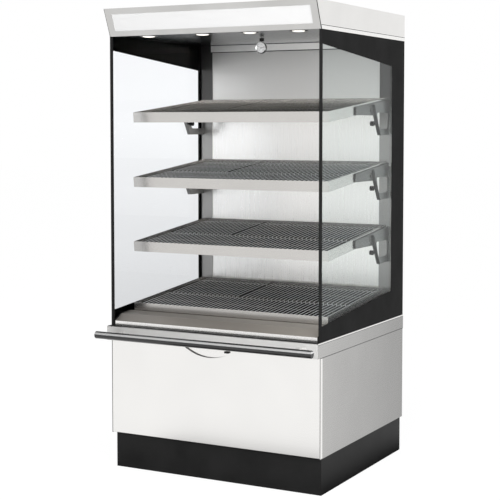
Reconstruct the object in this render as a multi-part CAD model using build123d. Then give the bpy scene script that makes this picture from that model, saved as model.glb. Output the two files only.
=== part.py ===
from build123d import *
import os
from math import cos, radians, sin, tan

os.makedirs("parts", exist_ok=True)

# Heated display case, floor standing, open at the front.
# Millimetres. X runs left to right as the customer sees it, Y runs to the back, +Z is up.
# Pieces are drawn with Y measured from the door's face, then all of them are moved together,
# so that the finished case has its origin on the floor below the middle of its overall depth.

# Overall sizes
HALF_WIDTH = 500.0
DEPTH = 885.0
HEIGHT = 1983.0

# Heights of the main layers
KICK_TOP = 154.0
DECK_TOP = 625.0
DECK_DROP = 61.0
CANOPY_HEIGHT = 115.0
DECK_BOTTOM = DECK_TOP - DECK_DROP
CANOPY_BOTTOM = HEIGHT - CANOPY_HEIGHT

# Sheet thicknesses
SHEET = 2.0
THIN_SHEET = 1.5

# Plinth
KICK_SETBACK = 26.0
KICK_SIDE_SETBACK = 8.0
KICK_FLANGE = 28.0

# Base
BACK_SETBACK = 16.0
JAMB_FRONT = 28.0
JAMB_WIDTH = 26.0
FLOOR_LIP = 16.0
DECK_OVERHANG = 32.0
DECK_SIDE_OVERHANG = 2.0
DECK_EDGE_RADIUS = 3.0
SIDE_EDGE_RADIUS = 1.5

# Cooling slots and cable gland in the base back
VENT_BANK_XS = (-250.0, 90.0)
VENT_ROWS = 7
VENT_PITCH = 30.0
VENT_LENGTH = 200.0
VENT_HEIGHT = 8.0
VENT_RISE = 146.0
GLAND_FROM_SIDE = 118.0
GLAND_RISE = 81.0
GLAND_RADIUS = 13.0
GLAND_BORE = 8.0
GLAND_INSIDE = 10.0
GLAND_OUTSIDE = 12.0
GLAND_NUT = 6.0
GLAND_NUT_HEIGHT = 5.0

# Door
DOOR_GAP = 2.5
DOOR_SIDE_GAP = 1.2
DOOR_PAN = 20.0
DOOR_EDGE = 1.2
DOOR_BOSS = 20.0
HINGE_Y = 8.0
HINGE_RISE = 13.0
HINGE_PIN_RADIUS = 4.0
HINGE_PIN_FIT = 0.08
HINGE_PIN_REACH = 14.0
PULL_X = -12.0
PULL_HALF_WIDTH = 118.0
PULL_DEPTH = 36.0
PULL_TOP = 4.0
PULL_RIM = 6.0
PULL_POCKET = 8.5

# Bumper rail
RAIL_RADIUS = 16.0
RAIL_WALL = 2.0
RAIL_EDGE = 2.0
RAIL_REACH = 68.0
RAIL_DROP = 30.0
RAIL_OVERHANG = 12.0
STAND_OFF_INSET = 82.0
STAND_OFF_RADIUS = 9.0
STAND_OFF_FOOT = 4.0
STAND_OFF_FOOT_WIDTH = 36.0
STAND_OFF_FOOT_HEIGHT = 28.0

# Front sill, its heights above the deck
SILL_END_WIDTH = 7.0
SILL_LIP_Y = 5.0
SILL_LIP_RISE = 19.0
SILL_KNEE_Y = 53.0
SILL_KNEE_RISE = 45.0
SILL_BACK_Y = 127.0
SILL_BACK_RISE = 50.5

# Side glazing and its black border
BORDER_SKIN = 1.0
GLASS_THICKNESS = 7.0
CHANNEL_WALL = 2.0
CHANNEL_DEPTH = 10.0
REAR_BOX_DEPTH = 140.0
WINDOW_FRONT_EDGE = 1.0
WINDOW_BACK_EDGE = 5.0
WINDOW_TOP_FRONT_DROP = 58.0
WINDOW_TOP_BACK_DROP = 118.0
WINDOW_LOW_FRONT_RISE = 64.0
WINDOW_LOW_BACK_RISE = 126.0

# Rear wall and uprights
POST_SETBACK = 127.0
POST_WIDTH = 60.0
POST_DEPTH = 28.0
POST_WALL = 2.5
SLOT_WIDTH = 5.0
SLOT_HEIGHT = 26.0
BACK_WALL_SETBACK = 4.0
VALANCE_DEPTH = 16.0
VALANCE_HEIGHT = 32.0

# Shelves
SHELF_NAMES = ("lower", "middle", "top")
LOWER_SHELF_Z = 979.5
SHELF_PITCH = 283.0
SHELF_FRONT_Y = 130.0
SHELF_SIDE_GAP = 21.0
SHELF_BACK_GAP = 10.4
SHELF_TILT = 6.0
SHELF_LIP = 44.0
BASE_SHELF_RISE = 84.7
BASE_SHELF_BACK_GAP = 30.3
BASE_SHELF_TILT = 5.0
BASE_SHELF_LIP = 33.0
BASE_SHELF_HEM = 6.0
SKIRT_FRONT_GAP = 8.0
SKIRT_BACK_GAP = 4.0

# Wire racks in the shelves
RACK_DROP = 28.0
RACK_BAR = 5.0
RACK_PITCH = 17.5
RACK_PLATE = 4.0
RACK_RIM = 7.0
RACK_GAP = 1.0
RACK_CROSS_RAIL_Y = 357.0
RACK_RAIL_GAP = 0.5

# Shelf brackets, measured forwards from the uprights and up from the shelf's front edge
BRACKET_GAP = 5.0
BRACKET_WALL = 3.0
BRACKET_REACH = 365.0
BRACKET_ARM_RISE = 20.5
BRACKET_ARM_DROP = 13.5
BRACKET_FOOT_DROP = 100.0
BRACKET_FOOT_REACH = 129.0
BRACKET_THROAT_REACH = 180.0
BRACKET_FLANGE_REACH = 195.0
BRACKET_FLANGE_RISE = 32.0
BRACKET_WINDOW = ((141.0, -1.0), (16.0, -1.0), (16.0, -71.0), (117.0, -71.0))
BRACKET_WINDOW_CORNER = 7.0
PIVOT_INSET = 12.0
PIVOT_RISE = 4.5
PIVOT_PIN_RADIUS = 4.0
PIN_FIT = 0.08
GUIDE_RADIUS = 140.0
GUIDE_ANGLE = 5.0
GUIDE_PIN_RADIUS = 4.0
GUIDE_PIN_REACH = 5.0
GUIDE_CLEARANCE = 0.6
HOOK_PITCH = SHELF_PITCH / 5
HOOK_RISE = 35.0
HOOK_REACH = 10.0
HOOK_WEB = 4.0
HOOK_TOP = 8.0
HOOK_TIP = 12.0
HOOK_NECK = 6.0
KNOB_HEAD_REACH = 146.0
KNOB_HEAD_DROP = 49.0
KNOB_HEAD_RADIUS = 10.5
KNOB_HEAD_LENGTH = 16.0
KNOB_NECK_RADIUS = 4.0
KNOB_NECK_LENGTH = 9.0

# Canopy and sign
SIGN_LEAN = 47.0
SIGN_FRAME_GAP = 2.5
CEILING_LIP = 13.0
CEILING_SIDE = 1.0
SIGN_SIDE = 33.0
SIGN_BOTTOM_RAIL = 21.0
SIGN_TOP_RAIL = 24.0
SIGN_PANEL = 3.0
SIGN_PANEL_LAP = 10.0
LAMP_LEFT_INSET = 159.0
LAMP_RIGHT_INSET = 130.0
LAMP_MIDDLE_XS = (-75.0, 148.0)
LAMP_Y = 60.0
LAMP_TRIM_RADIUS = 39.0
LAMP_TRIM_DROP = 5.0
LAMP_CAN_RADIUS = 33.0
LAMP_CAN_HEIGHT = 24.0

# Thermometer
THERMO_X = 79.0
THERMO_Y = 287.0
THERMO_DROP = 48.4
THERMO_RADIUS = 24.0
THERMO_DEPTH = 12.0
THERMO_WALL = 1.5
THERMO_STRAP = 12.0
THERMO_FOOT = 20.0
NEEDLE_REST = 8.0

# Control box behind the door
CONTROL_FRONT_Y = 60.0
CONTROL_WIDTH = 283.0
CONTROL_DEPTH = 150.0
CONTROL_DROP = 273.0
CONTROL_CORNER = 6.0
SWITCH_FROM_SIDE = 208.0
KNOB_FROM_SIDE = 98.0
CONTROL_Z = 450.0
SWITCH_PIVOT_DEPTH = 6.0
SWITCH_THROW = 18.0
SWITCH_HALF_WIDTH = 11.6
SWITCH_HALF_HEIGHT = 14.0
SWITCH_GAP = 0.4
SWITCH_END_GAP = 2.5
SPINDLE_RADIUS = 3.0
SPINDLE_FIT = 0.05
SPINDLE_LENGTH = 12.0

# Blower housing and its duct
BLOWER_WIDTH = 560.0
BLOWER_FRONT_Y = 170.0
BLOWER_BACK_GAP = 229.0
BLOWER_TOP = 470.0
DUCT_INSET = 80.0
DUCT_LAP = 80.0
DUCT_BACK_GAP = 29.0
DUCT_BOTTOM = 430.0
GRILLE_ROWS = 9
GRILLE_PITCH = 22.0
GRILLE_LENGTH = 300.0
GRILLE_HEIGHT = 9.0
GRILLE_BOTTOM = 230.0

# Sizes that follow from those above
PANEL_HALF = HALF_WIDTH - SHEET
GLASS_OUTER = HALF_WIDTH - BORDER_SKIN
GLASS_INNER = GLASS_OUTER - GLASS_THICKNESS
POST_OUTER = GLASS_INNER - CHANNEL_WALL
POST_INNER = POST_OUTER - POST_WIDTH
GLASS_BACK_Y = DEPTH - REAR_BOX_DEPTH
POST_FRONT_Y = DEPTH - POST_SETBACK
BACK_WALL_Y = POST_FRONT_Y + BACK_WALL_SETBACK
SHELF_HALF_WIDTH = POST_OUTER - SHELF_SIDE_GAP
SHELF_LENGTH = (POST_FRONT_Y - SHELF_BACK_GAP - SHELF_FRONT_Y) / cos(radians(SHELF_TILT))
BASE_SHELF_LENGTH = (POST_FRONT_Y - BASE_SHELF_BACK_GAP - SHELF_FRONT_Y) / cos(radians(BASE_SHELF_TILT))
BASE_SHELF_Z = DECK_TOP + BASE_SHELF_RISE
SHELF_ZS = [LOWER_SHELF_Z + level * SHELF_PITCH for level in range(len(SHELF_NAMES))]
BRACKET_INNER = SHELF_HALF_WIDTH + BRACKET_GAP
PIVOT_Y = POST_FRONT_Y - BRACKET_REACH + PIVOT_INSET
HINGE_Z = KICK_TOP + HINGE_RISE


def block(x0, x1, y0, y1, z0, z1):
    return Pos((x0 + x1) / 2, (y0 + y1) / 2, (z0 + z1) / 2) * Box(x1 - x0, y1 - y0, z1 - z0)


def along_x(points, x0, x1):
    """A profile of (Y, Z) points, drawn out from x0 to x1."""
    face = Plane.YZ.offset(x0) * Polygon(*points, align=None)
    return extrude(face, x1 - x0, dir=(1, 0, 0))


def rod_x(radius, x0, x1, y, z):
    return Pos((x0 + x1) / 2, y, z) * Rot(0, 90, 0) * Cylinder(radius, x1 - x0)


def rod_y(radius, y0, y1, x, z):
    return Pos(x, (y0 + y1) / 2, z) * Rot(90, 0, 0) * Cylinder(radius, y1 - y0)


def rod_z(radius, z0, z1, x, y):
    return Pos(x, y, (z0 + z1) / 2) * Cylinder(radius, z1 - z0)


def folded(points, thickness):
    """The section of a folded sheet: an open line of points and its copy, set off to the right."""
    normals = []
    for (a0, b0), (a1, b1) in zip(points, points[1:]):
        length = ((a1 - a0) ** 2 + (b1 - b0) ** 2) ** 0.5
        normals.append(((b1 - b0) / length, (a0 - a1) / length))
    inner = []
    for i, (a, b) in enumerate(points):
        before = normals[max(i - 1, 0)]
        after = normals[min(i, len(normals) - 1)]
        scale = thickness / (1 + before[0] * after[0] + before[1] * after[1])
        inner.append((a + (before[0] + after[0]) * scale, b + (before[1] + after[1]) * scale))
    return list(points) + inner[::-1]


def mirrored(solid):
    return mirror(solid, Plane.YZ)


pieces = {}

# Plinth: a folded ring with flanges turned in at the floor and under the base
kick_half = HALF_WIDTH - KICK_SIDE_SETBACK
kick_back = DEPTH - KICK_SIDE_SETBACK
plinth = block(-kick_half, kick_half, KICK_SETBACK, kick_back, 0, KICK_TOP)
plinth -= block(
    -kick_half + SHEET, kick_half - SHEET,
    KICK_SETBACK + SHEET, kick_back - SHEET,
    SHEET, KICK_TOP - SHEET,
)
plinth -= block(
    -kick_half + KICK_FLANGE, kick_half - KICK_FLANGE,
    KICK_SETBACK + KICK_FLANGE, kick_back - KICK_FLANGE,
    0, KICK_TOP,
)
pieces["plinth"] = plinth

# Base floor: a pan with a low lip behind the door
back_inner = DEPTH - BACK_SETBACK
floor_profile = folded(
    [(JAMB_FRONT, KICK_TOP + FLOOR_LIP), (JAMB_FRONT, KICK_TOP), (back_inner, KICK_TOP)], -SHEET
)
pieces["base_floor"] = along_x(floor_profile, -PANEL_HALF, PANEL_HALF)

# Base sides: each a folded sheet with a door jamb, and the door's pivot pin pressed into it
side = block(PANEL_HALF, HALF_WIDTH, 0, DEPTH, KICK_TOP, DECK_TOP - SHEET)
jamb_bottom = KICK_TOP + SHEET
side += block(PANEL_HALF - JAMB_WIDTH, PANEL_HALF, JAMB_FRONT + SHEET, JAMB_FRONT + 2 * SHEET,
              jamb_bottom, DECK_TOP - SHEET)
side += rod_x(HINGE_PIN_RADIUS, PANEL_HALF - HINGE_PIN_REACH, PANEL_HALF, HINGE_Y, HINGE_Z)
side = fillet(side.edges().filter_by(Axis.Z).group_by(Axis.Y)[0].sort_by(Axis.X)[-1:], SIDE_EDGE_RADIUS)
pieces["base_side_right"] = side
pieces["base_side_left"] = mirrored(side)

# Base back: two banks of cooling slots and a hole for the cable gland
gland_x = PANEL_HALF - GLAND_FROM_SIDE
gland_z = KICK_TOP + GLAND_RISE
base_back = block(-PANEL_HALF, PANEL_HALF, back_inner, back_inner + SHEET, KICK_TOP, DECK_TOP - SHEET)
vents = Sketch()
for bank_x in VENT_BANK_XS:
    for row in range(VENT_ROWS):
        vent_z = KICK_TOP + VENT_RISE + row * VENT_PITCH
        vents += Pos(bank_x, vent_z) * Rectangle(VENT_LENGTH, VENT_HEIGHT)
base_back -= extrude(Plane.XZ.offset(-back_inner - SHEET) * vents, SHEET)
base_back -= rod_y(GLAND_RADIUS, back_inner, back_inner + SHEET, gland_x, gland_z)
pieces["base_back"] = base_back

# Cable gland: a bush with a six-sided nut and a clear bore, no cord
gland_front = back_inner - GLAND_INSIDE
gland_back = back_inner + GLAND_OUTSIDE
gland = rod_y(GLAND_RADIUS, gland_front, gland_back, gland_x, gland_z)
nut = Pos(gland_x, gland_z) * RegularPolygon(GLAND_RADIUS + GLAND_NUT, 6)
gland += extrude(Plane.XZ.offset(-back_inner - SHEET - GLAND_NUT_HEIGHT) * nut, GLAND_NUT_HEIGHT)
gland -= rod_y(GLAND_BORE, gland_front, gland_back, gland_x, gland_z)
pieces["cable_gland"] = gland

# Deck: the heavy pan that caps the base, with a flange turned back below its front
deck_half = HALF_WIDTH + DECK_SIDE_OVERHANG
deck_front = -DECK_OVERHANG
deck = block(-deck_half, deck_half, deck_front, DEPTH, DECK_BOTTOM, DECK_TOP)
deck = fillet(
    deck.faces().sort_by(Axis.Z)[-1].edges() - deck.faces().sort_by(Axis.Y)[-1].edges(),
    DECK_EDGE_RADIUS,
)
deck -= block(-HALF_WIDTH, HALF_WIDTH, 0, DEPTH, DECK_BOTTOM, DECK_TOP - SHEET)
deck -= block(-HALF_WIDTH, HALF_WIDTH, deck_front + SHEET, 0, DECK_BOTTOM + SHEET, DECK_TOP - SHEET)
pieces["deck"] = deck

# Bumper rail: a closed tube on two stand-offs
rail_y = deck_front - RAIL_REACH
rail_z = DECK_TOP - RAIL_DROP
rail_half = HALF_WIDTH + RAIL_OVERHANG
rail_outside = rod_x(RAIL_RADIUS, -rail_half, rail_half, rail_y, rail_z)
rail_inner_half = rail_half - 2 * RAIL_WALL
pieces["bumper_rail"] = chamfer(rail_outside.edges(), RAIL_EDGE) - rod_x(
    RAIL_RADIUS - RAIL_WALL, -rail_inner_half, rail_inner_half, rail_y, rail_z
)
foot_front = deck_front - STAND_OFF_FOOT
for side_name, sign in (("left", -1), ("right", 1)):
    foot_x = sign * (rail_half - STAND_OFF_INSET)
    post = rod_y(STAND_OFF_RADIUS, rail_y, foot_front, foot_x, rail_z)
    post += block(
        foot_x - STAND_OFF_FOOT_WIDTH / 2, foot_x + STAND_OFF_FOOT_WIDTH / 2,
        foot_front, deck_front,
        rail_z - STAND_OFF_FOOT_HEIGHT / 2, rail_z + STAND_OFF_FOOT_HEIGHT / 2,
    )
    pieces["bumper_stand_off_" + side_name] = post - rail_outside

# Front sill: one folded sheet, from the lip up the slope to the flange below the base shelf
sill_line = [
    (SILL_LIP_Y, DECK_TOP),
    (SILL_LIP_Y, DECK_TOP + SILL_LIP_RISE),
    (SILL_KNEE_Y, DECK_TOP + SILL_KNEE_RISE),
    (SILL_BACK_Y, DECK_TOP + SILL_BACK_RISE),
    (SILL_BACK_Y, DECK_TOP),
]
sill_half = POST_OUTER - SILL_END_WIDTH
pieces["front_sill"] = along_x(folded(sill_line, THIN_SHEET), -sill_half, sill_half)
end_cap = along_x(sill_line, sill_half, POST_OUTER)
pieces["sill_end_right"] = end_cap
pieces["sill_end_left"] = mirrored(end_cap)

# Side glazing: a glass pane, a channel over its front edge and a black border on its outside
glass = block(GLASS_INNER, GLASS_OUTER, SHEET, GLASS_BACK_Y, DECK_TOP, CANOPY_BOTTOM)
channel = block(POST_OUTER, HALF_WIDTH, 0, CHANNEL_DEPTH, DECK_TOP, CANOPY_BOTTOM)
channel -= block(GLASS_INNER, GLASS_OUTER, SHEET, CHANNEL_DEPTH, DECK_TOP, CANOPY_BOTTOM)
border = block(GLASS_OUTER, HALF_WIDTH, CHANNEL_DEPTH, DEPTH, DECK_TOP, CANOPY_BOTTOM)
window_front = CHANNEL_DEPTH + WINDOW_FRONT_EDGE
window_back = GLASS_BACK_Y - WINDOW_BACK_EDGE
border -= along_x(
    [
        (window_front, DECK_TOP + WINDOW_LOW_FRONT_RISE),
        (window_back, DECK_TOP + WINDOW_LOW_BACK_RISE),
        (window_back, CANOPY_BOTTOM - WINDOW_TOP_BACK_DROP),
        (window_front, CANOPY_BOTTOM - WINDOW_TOP_FRONT_DROP),
    ],
    GLASS_OUTER, HALF_WIDTH,
)
for name, solid in (("side_glass", glass), ("glass_channel", channel), ("side_border", border)):
    pieces[name + "_right"] = solid
    pieces[name + "_left"] = mirrored(solid)

# Uprights: channels with hook slots behind the shelf brackets
post_back_y = POST_FRONT_Y + POST_DEPTH
upright = block(POST_INNER, POST_OUTER, POST_FRONT_Y, post_back_y, DECK_TOP, CANOPY_BOTTOM)
upright -= block(
    POST_INNER + POST_WALL, POST_OUTER - POST_WALL,
    POST_FRONT_Y + POST_WALL, post_back_y,
    DECK_TOP, CANOPY_BOTTOM,
)
slot_x = BRACKET_INNER + BRACKET_WALL / 2
slots = Sketch()
for shelf_z in SHELF_ZS:
    for drop in (0, HOOK_PITCH):
        slots += Pos(slot_x, shelf_z + HOOK_RISE - drop) * Rectangle(SLOT_WIDTH, SLOT_HEIGHT)
upright -= extrude(Plane.XZ.offset(-POST_FRONT_Y - POST_WALL) * slots, POST_WALL)
pieces["upright_right"] = upright
pieces["upright_left"] = mirrored(upright)

# Rear: inner wall, outer casing and the valance below the canopy
pieces["back_wall"] = block(
    -POST_INNER, POST_INNER, BACK_WALL_Y, BACK_WALL_Y + SHEET, DECK_TOP, CANOPY_BOTTOM
)
casing = block(-GLASS_OUTER, GLASS_OUTER, GLASS_BACK_Y, DEPTH, DECK_TOP, CANOPY_BOTTOM)
casing -= block(
    -GLASS_OUTER + SHEET, GLASS_OUTER - SHEET, GLASS_BACK_Y, DEPTH - SHEET, DECK_TOP, CANOPY_BOTTOM
)
pieces["rear_casing"] = casing
valance_front = BACK_WALL_Y - VALANCE_DEPTH
valance_bottom = CANOPY_BOTTOM - VALANCE_HEIGHT
valance_line = [
    (BACK_WALL_Y, valance_bottom),
    (valance_front, valance_bottom),
    (valance_front, CANOPY_BOTTOM),
    (BACK_WALL_Y, CANOPY_BOTTOM),
]
pieces["valance"] = along_x(folded(valance_line, THIN_SHEET), -POST_INNER, POST_INNER)

# Canopy: hood, ceiling pan and leaning sign


def lean_y(z, inset):
    """Y of the sign's plane at height z, moved back by inset."""
    return -SIGN_LEAN * (z - CANOPY_BOTTOM) / (HEIGHT - CANOPY_BOTTOM) + inset


lean_length = ((HEIGHT - CANOPY_BOTTOM) ** 2 + SIGN_LEAN ** 2) ** 0.5
across = lean_length / (HEIGHT - CANOPY_BOTTOM)
ceiling_top = CANOPY_BOTTOM + SHEET
frame_back = SHEET * across
hood = along_x(
    [
        (lean_y(ceiling_top, frame_back), ceiling_top),
        (lean_y(HEIGHT, frame_back), HEIGHT),
        (DEPTH, HEIGHT),
        (DEPTH, ceiling_top),
    ],
    -HALF_WIDTH, HALF_WIDTH,
)
hood -= block(
    -HALF_WIDTH + SHEET, HALF_WIDTH - SHEET,
    -2 * SIGN_LEAN, DEPTH - SHEET,
    CANOPY_BOTTOM, HEIGHT - SHEET,
)
pieces["canopy_hood"] = hood
ceiling_half = HALF_WIDTH + CEILING_SIDE
ceiling_back = DEPTH + CEILING_SIDE
lip_top = ceiling_top + CEILING_LIP
ceiling = block(-ceiling_half, ceiling_half, 0, ceiling_back, CANOPY_BOTTOM, lip_top)
ceiling -= block(-HALF_WIDTH, HALF_WIDTH, -SIGN_LEAN, DEPTH, ceiling_top, lip_top)
ceiling -= along_x(
    [
        (lean_y(CANOPY_BOTTOM, frame_back), CANOPY_BOTTOM),
        (-SIGN_LEAN, CANOPY_BOTTOM),
        (-SIGN_LEAN, HEIGHT),
        (lean_y(HEIGHT, frame_back), HEIGHT),
    ],
    -HALF_WIDTH, HALF_WIDTH,
)
lamp_xs = (-HALF_WIDTH + LAMP_LEFT_INSET, *LAMP_MIDDLE_XS, HALF_WIDTH - LAMP_RIGHT_INSET)
for lamp_x in lamp_xs:
    ceiling -= rod_z(LAMP_CAN_RADIUS, CANOPY_BOTTOM, ceiling_top, lamp_x, LAMP_Y)
pieces["canopy_ceiling"] = ceiling

sign_half = HALF_WIDTH - SIGN_FRAME_GAP
sign_bottom = CANOPY_BOTTOM + SIGN_BOTTOM_RAIL
sign_top = HEIGHT - SIGN_TOP_RAIL
sign_frame = along_x(
    [
        (lean_y(CANOPY_BOTTOM, 0), CANOPY_BOTTOM),
        (lean_y(HEIGHT, 0), HEIGHT),
        (lean_y(HEIGHT, frame_back), HEIGHT),
        (lean_y(CANOPY_BOTTOM, frame_back), CANOPY_BOTTOM),
    ],
    -sign_half, sign_half,
)
sign_frame -= block(
    -HALF_WIDTH + SIGN_SIDE, HALF_WIDTH - SIGN_SIDE,
    -2 * SIGN_LEAN, SIGN_LEAN,
    sign_bottom, sign_top,
)
pieces["sign_frame"] = sign_frame
panel_back = (SHEET + SIGN_PANEL) * across
panel_half = HALF_WIDTH - SIGN_SIDE + SIGN_PANEL_LAP
panel_low = sign_bottom - SIGN_PANEL_LAP
panel_high = sign_top + SIGN_PANEL_LAP
pieces["sign_panel"] = along_x(
    [
        (lean_y(panel_low, frame_back), panel_low),
        (lean_y(panel_high, frame_back), panel_high),
        (lean_y(panel_high, panel_back), panel_high),
        (lean_y(panel_low, panel_back), panel_low),
    ],
    -panel_half, panel_half,
)

# Downlights: a rolled trim ring, a shallow lens and the can above the ceiling
downlight_line = [
    (0, CANOPY_BOTTOM - SHEET),
    (LAMP_CAN_RADIUS - LAMP_TRIM_DROP, CANOPY_BOTTOM - SHEET),
    (LAMP_CAN_RADIUS, CANOPY_BOTTOM - LAMP_TRIM_DROP),
    (LAMP_TRIM_RADIUS, CANOPY_BOTTOM),
    (LAMP_CAN_RADIUS, CANOPY_BOTTOM),
    (LAMP_CAN_RADIUS, CANOPY_BOTTOM + LAMP_CAN_HEIGHT),
    (0, CANOPY_BOTTOM + LAMP_CAN_HEIGHT),
]
downlight = revolve(Plane.XZ * Polygon(*downlight_line, align=None), Axis.Z)
for number, lamp_x in enumerate(lamp_xs, start=1):
    pieces[f"downlight_{number}"] = Pos(lamp_x, LAMP_Y, 0) * downlight

# Thermometer: an open cup hung by a strap from the ceiling, with dial, needle and lens
thermo_z = CANOPY_BOTTOM - THERMO_DROP
cup_back = THERMO_Y + THERMO_DEPTH
dial_back = cup_back - THERMO_WALL
dial_front = dial_back - 3
dial_radius = THERMO_RADIUS - THERMO_WALL
strap_half = THERMO_STRAP / 2
cup = rod_y(THERMO_RADIUS, THERMO_Y, cup_back, THERMO_X, thermo_z)
cup -= rod_y(dial_radius, THERMO_Y, dial_back, THERMO_X, thermo_z)
cup += block(THERMO_X - strap_half, THERMO_X + strap_half, dial_back, cup_back, thermo_z, CANOPY_BOTTOM)
cup += block(
    THERMO_X - strap_half, THERMO_X + strap_half,
    cup_back - THERMO_FOOT / 2, cup_back + THERMO_FOOT / 2,
    CANOPY_BOTTOM - THERMO_WALL, CANOPY_BOTTOM,
)
pieces["thermometer_cup"] = cup
pieces["thermometer_dial"] = rod_y(dial_radius, dial_front, dial_back, THERMO_X, thermo_z)
needle = rod_y(2, dial_front - 2.4, dial_front - 0.4, 0, 0)
pointer = Polygon((-7, -1.4), (17, -0.3), (17, 0.3), (-7, 1.4), align=None)
needle += extrude(Plane.XZ.offset(1.7 - dial_front) * pointer, 0.7)
pieces["thermometer_needle"] = Pos(THERMO_X, 0, thermo_z) * Rot(0, -NEEDLE_REST, 0) * needle
pieces["thermometer_lens"] = rod_y(dial_radius, THERMO_Y + 0.5, THERMO_Y + 2, THERMO_X, thermo_z)

# Shelves: each a folded pan with a rack that stands on its floor


def tray_pan(length, lip):
    """An open pan of thin sheet, with its front edge along X through the origin."""
    pan = block(-SHELF_HALF_WIDTH, SHELF_HALF_WIDTH, 0, length, -lip, 0)
    inner = SHELF_HALF_WIDTH - THIN_SHEET
    return pan - block(-inner, inner, THIN_SHEET, length - THIN_SHEET, THIN_SHEET - lip, 0)


def rack_grid(length, foot):
    """A grid of bars that run front to back, with a rim that stands on the pan's floor."""
    half = SHELF_HALF_WIDTH - THIN_SHEET - RACK_GAP
    start = THIN_SHEET + RACK_GAP
    end = length - THIN_SHEET - RACK_GAP
    grid = block(-half, half, start, end, foot, -RACK_DROP)
    plate_bottom = -RACK_DROP - RACK_PLATE
    grid -= block(
        -half + RACK_RIM, half - RACK_RIM, start + RACK_RIM, end - RACK_RIM, foot, plate_bottom
    )
    count = int((2 * half - 2 * RACK_RIM) // RACK_PITCH)
    slot_length = end - start - 2 * RACK_RIM
    gap = Rectangle(RACK_PITCH - RACK_BAR, slot_length)
    gaps = Sketch() + GridLocations(RACK_PITCH, 1, count, 1) * gap
    grid -= extrude(Plane.XY.offset(plate_bottom) * Pos(0, (start + end) / 2) * gaps, RACK_PLATE)
    rail_x = half - RACK_RIM
    grid += block(
        -rail_x, rail_x,
        RACK_CROSS_RAIL_Y - RACK_BAR / 2, RACK_CROSS_RAIL_Y + RACK_BAR / 2,
        foot, plate_bottom - RACK_RAIL_GAP,
    )
    return grid


def set_in_place(solid, front_z, tilt):
    return Pos(0, SHELF_FRONT_Y, front_z) * Rot(tilt, 0, 0) * solid


shelf_tray = tray_pan(SHELF_LENGTH, SHELF_LIP)
shelf_rack = rack_grid(SHELF_LENGTH, THIN_SHEET - SHELF_LIP)


def guide_point(angle):
    """Where the guide pin stands, measured from the pivot, with the shelf's tilt at angle."""
    turn = radians(angle - SHELF_TILT + GUIDE_ANGLE)
    return GUIDE_RADIUS * cos(turn), GUIDE_RADIUS * sin(turn)


def right_bracket(z0):
    """The right bracket of the shelf whose top front edge is at height z0."""
    outer = BRACKET_INNER + BRACKET_WALL
    back = POST_FRONT_Y
    front = back - BRACKET_REACH
    arm_top = z0 + BRACKET_ARM_RISE
    arm_bottom = z0 - BRACKET_ARM_DROP
    foot = (back - BRACKET_FOOT_REACH, z0 - BRACKET_FOOT_DROP)
    throat = (back - BRACKET_THROAT_REACH, arm_bottom)
    flange_top = (back - BRACKET_FLANGE_REACH, z0 + BRACKET_FLANGE_RISE)
    outline = [
        (front, arm_bottom),
        (front, arm_top),
        (back, arm_top + BRACKET_REACH * tan(radians(SHELF_TILT))),
        (back, foot[1]),
        foot,
        throat,
    ]
    plate = along_x(outline, BRACKET_INNER, outer)
    window = along_x([(back - reach, z0 + rise) for reach, rise in BRACKET_WINDOW], BRACKET_INNER, outer)
    plate -= chamfer(window.edges().filter_by(Axis.X), BRACKET_WINDOW_CORNER)
    plate += along_x(folded([foot, throat, flange_top], BRACKET_WALL), outer, POST_OUTER)
    pivot_z = z0 + PIVOT_RISE
    plate += rod_x(PIVOT_PIN_RADIUS, SHELF_HALF_WIDTH - THIN_SHEET, BRACKET_INNER, PIVOT_Y, pivot_z)
    slot_radius = GUIDE_PIN_RADIUS + GUIDE_CLEARANCE
    top_y, top_z = guide_point(SHELF_TILT)
    low_y, low_z = guide_point(0)
    plate -= block(
        BRACKET_INNER, outer,
        PIVOT_Y + top_y - slot_radius, PIVOT_Y + low_y + slot_radius,
        pivot_z + low_z - slot_radius, pivot_z + top_z + slot_radius,
    )
    for drop in (0, HOOK_PITCH):
        hook_z = z0 + HOOK_RISE - drop
        hook_line = [
            (back, hook_z + HOOK_TOP),
            (back + HOOK_REACH, hook_z + HOOK_TOP),
            (back + HOOK_REACH, hook_z - HOOK_TIP),
            (back + HOOK_WEB, hook_z - HOOK_TIP),
            (back + HOOK_WEB, hook_z - HOOK_NECK),
            (back, hook_z - HOOK_NECK),
        ]
        plate += along_x(hook_line, BRACKET_INNER, outer)
    head_y = back - KNOB_HEAD_REACH
    head_z = z0 - KNOB_HEAD_DROP
    neck_x = BRACKET_INNER - KNOB_NECK_LENGTH
    neck = Pos(head_y, head_z) * RegularPolygon(KNOB_NECK_RADIUS, 6)
    plate += extrude(Plane.YZ.offset(neck_x) * neck, KNOB_NECK_LENGTH)
    head = Pos(head_y, head_z) * RegularPolygon(KNOB_HEAD_RADIUS, 8)
    plate += extrude(Plane.YZ.offset(neck_x) * head, -KNOB_HEAD_LENGTH)
    return plate


for name, z0 in zip(SHELF_NAMES, SHELF_ZS):
    pivot_z = z0 + PIVOT_RISE
    tray = set_in_place(shelf_tray, z0, SHELF_TILT)
    guide_y, guide_z = guide_point(SHELF_TILT)
    guide_y += PIVOT_Y
    guide_z += pivot_z
    hole = rod_x(
        PIVOT_PIN_RADIUS + PIN_FIT, SHELF_HALF_WIDTH - THIN_SHEET, SHELF_HALF_WIDTH, PIVOT_Y, pivot_z
    )
    stud = rod_x(GUIDE_PIN_RADIUS, SHELF_HALF_WIDTH, BRACKET_INNER + GUIDE_PIN_REACH, guide_y, guide_z)
    tray = tray - hole - mirrored(hole) + stud + mirrored(stud)
    pieces[f"shelf_tray_{name}"] = tray
    pieces[f"shelf_rack_{name}"] = set_in_place(shelf_rack, z0, SHELF_TILT)
    bracket = right_bracket(z0)
    pieces[f"bracket_{name}_right"] = bracket
    pieces[f"bracket_{name}_left"] = mirrored(bracket)

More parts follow.
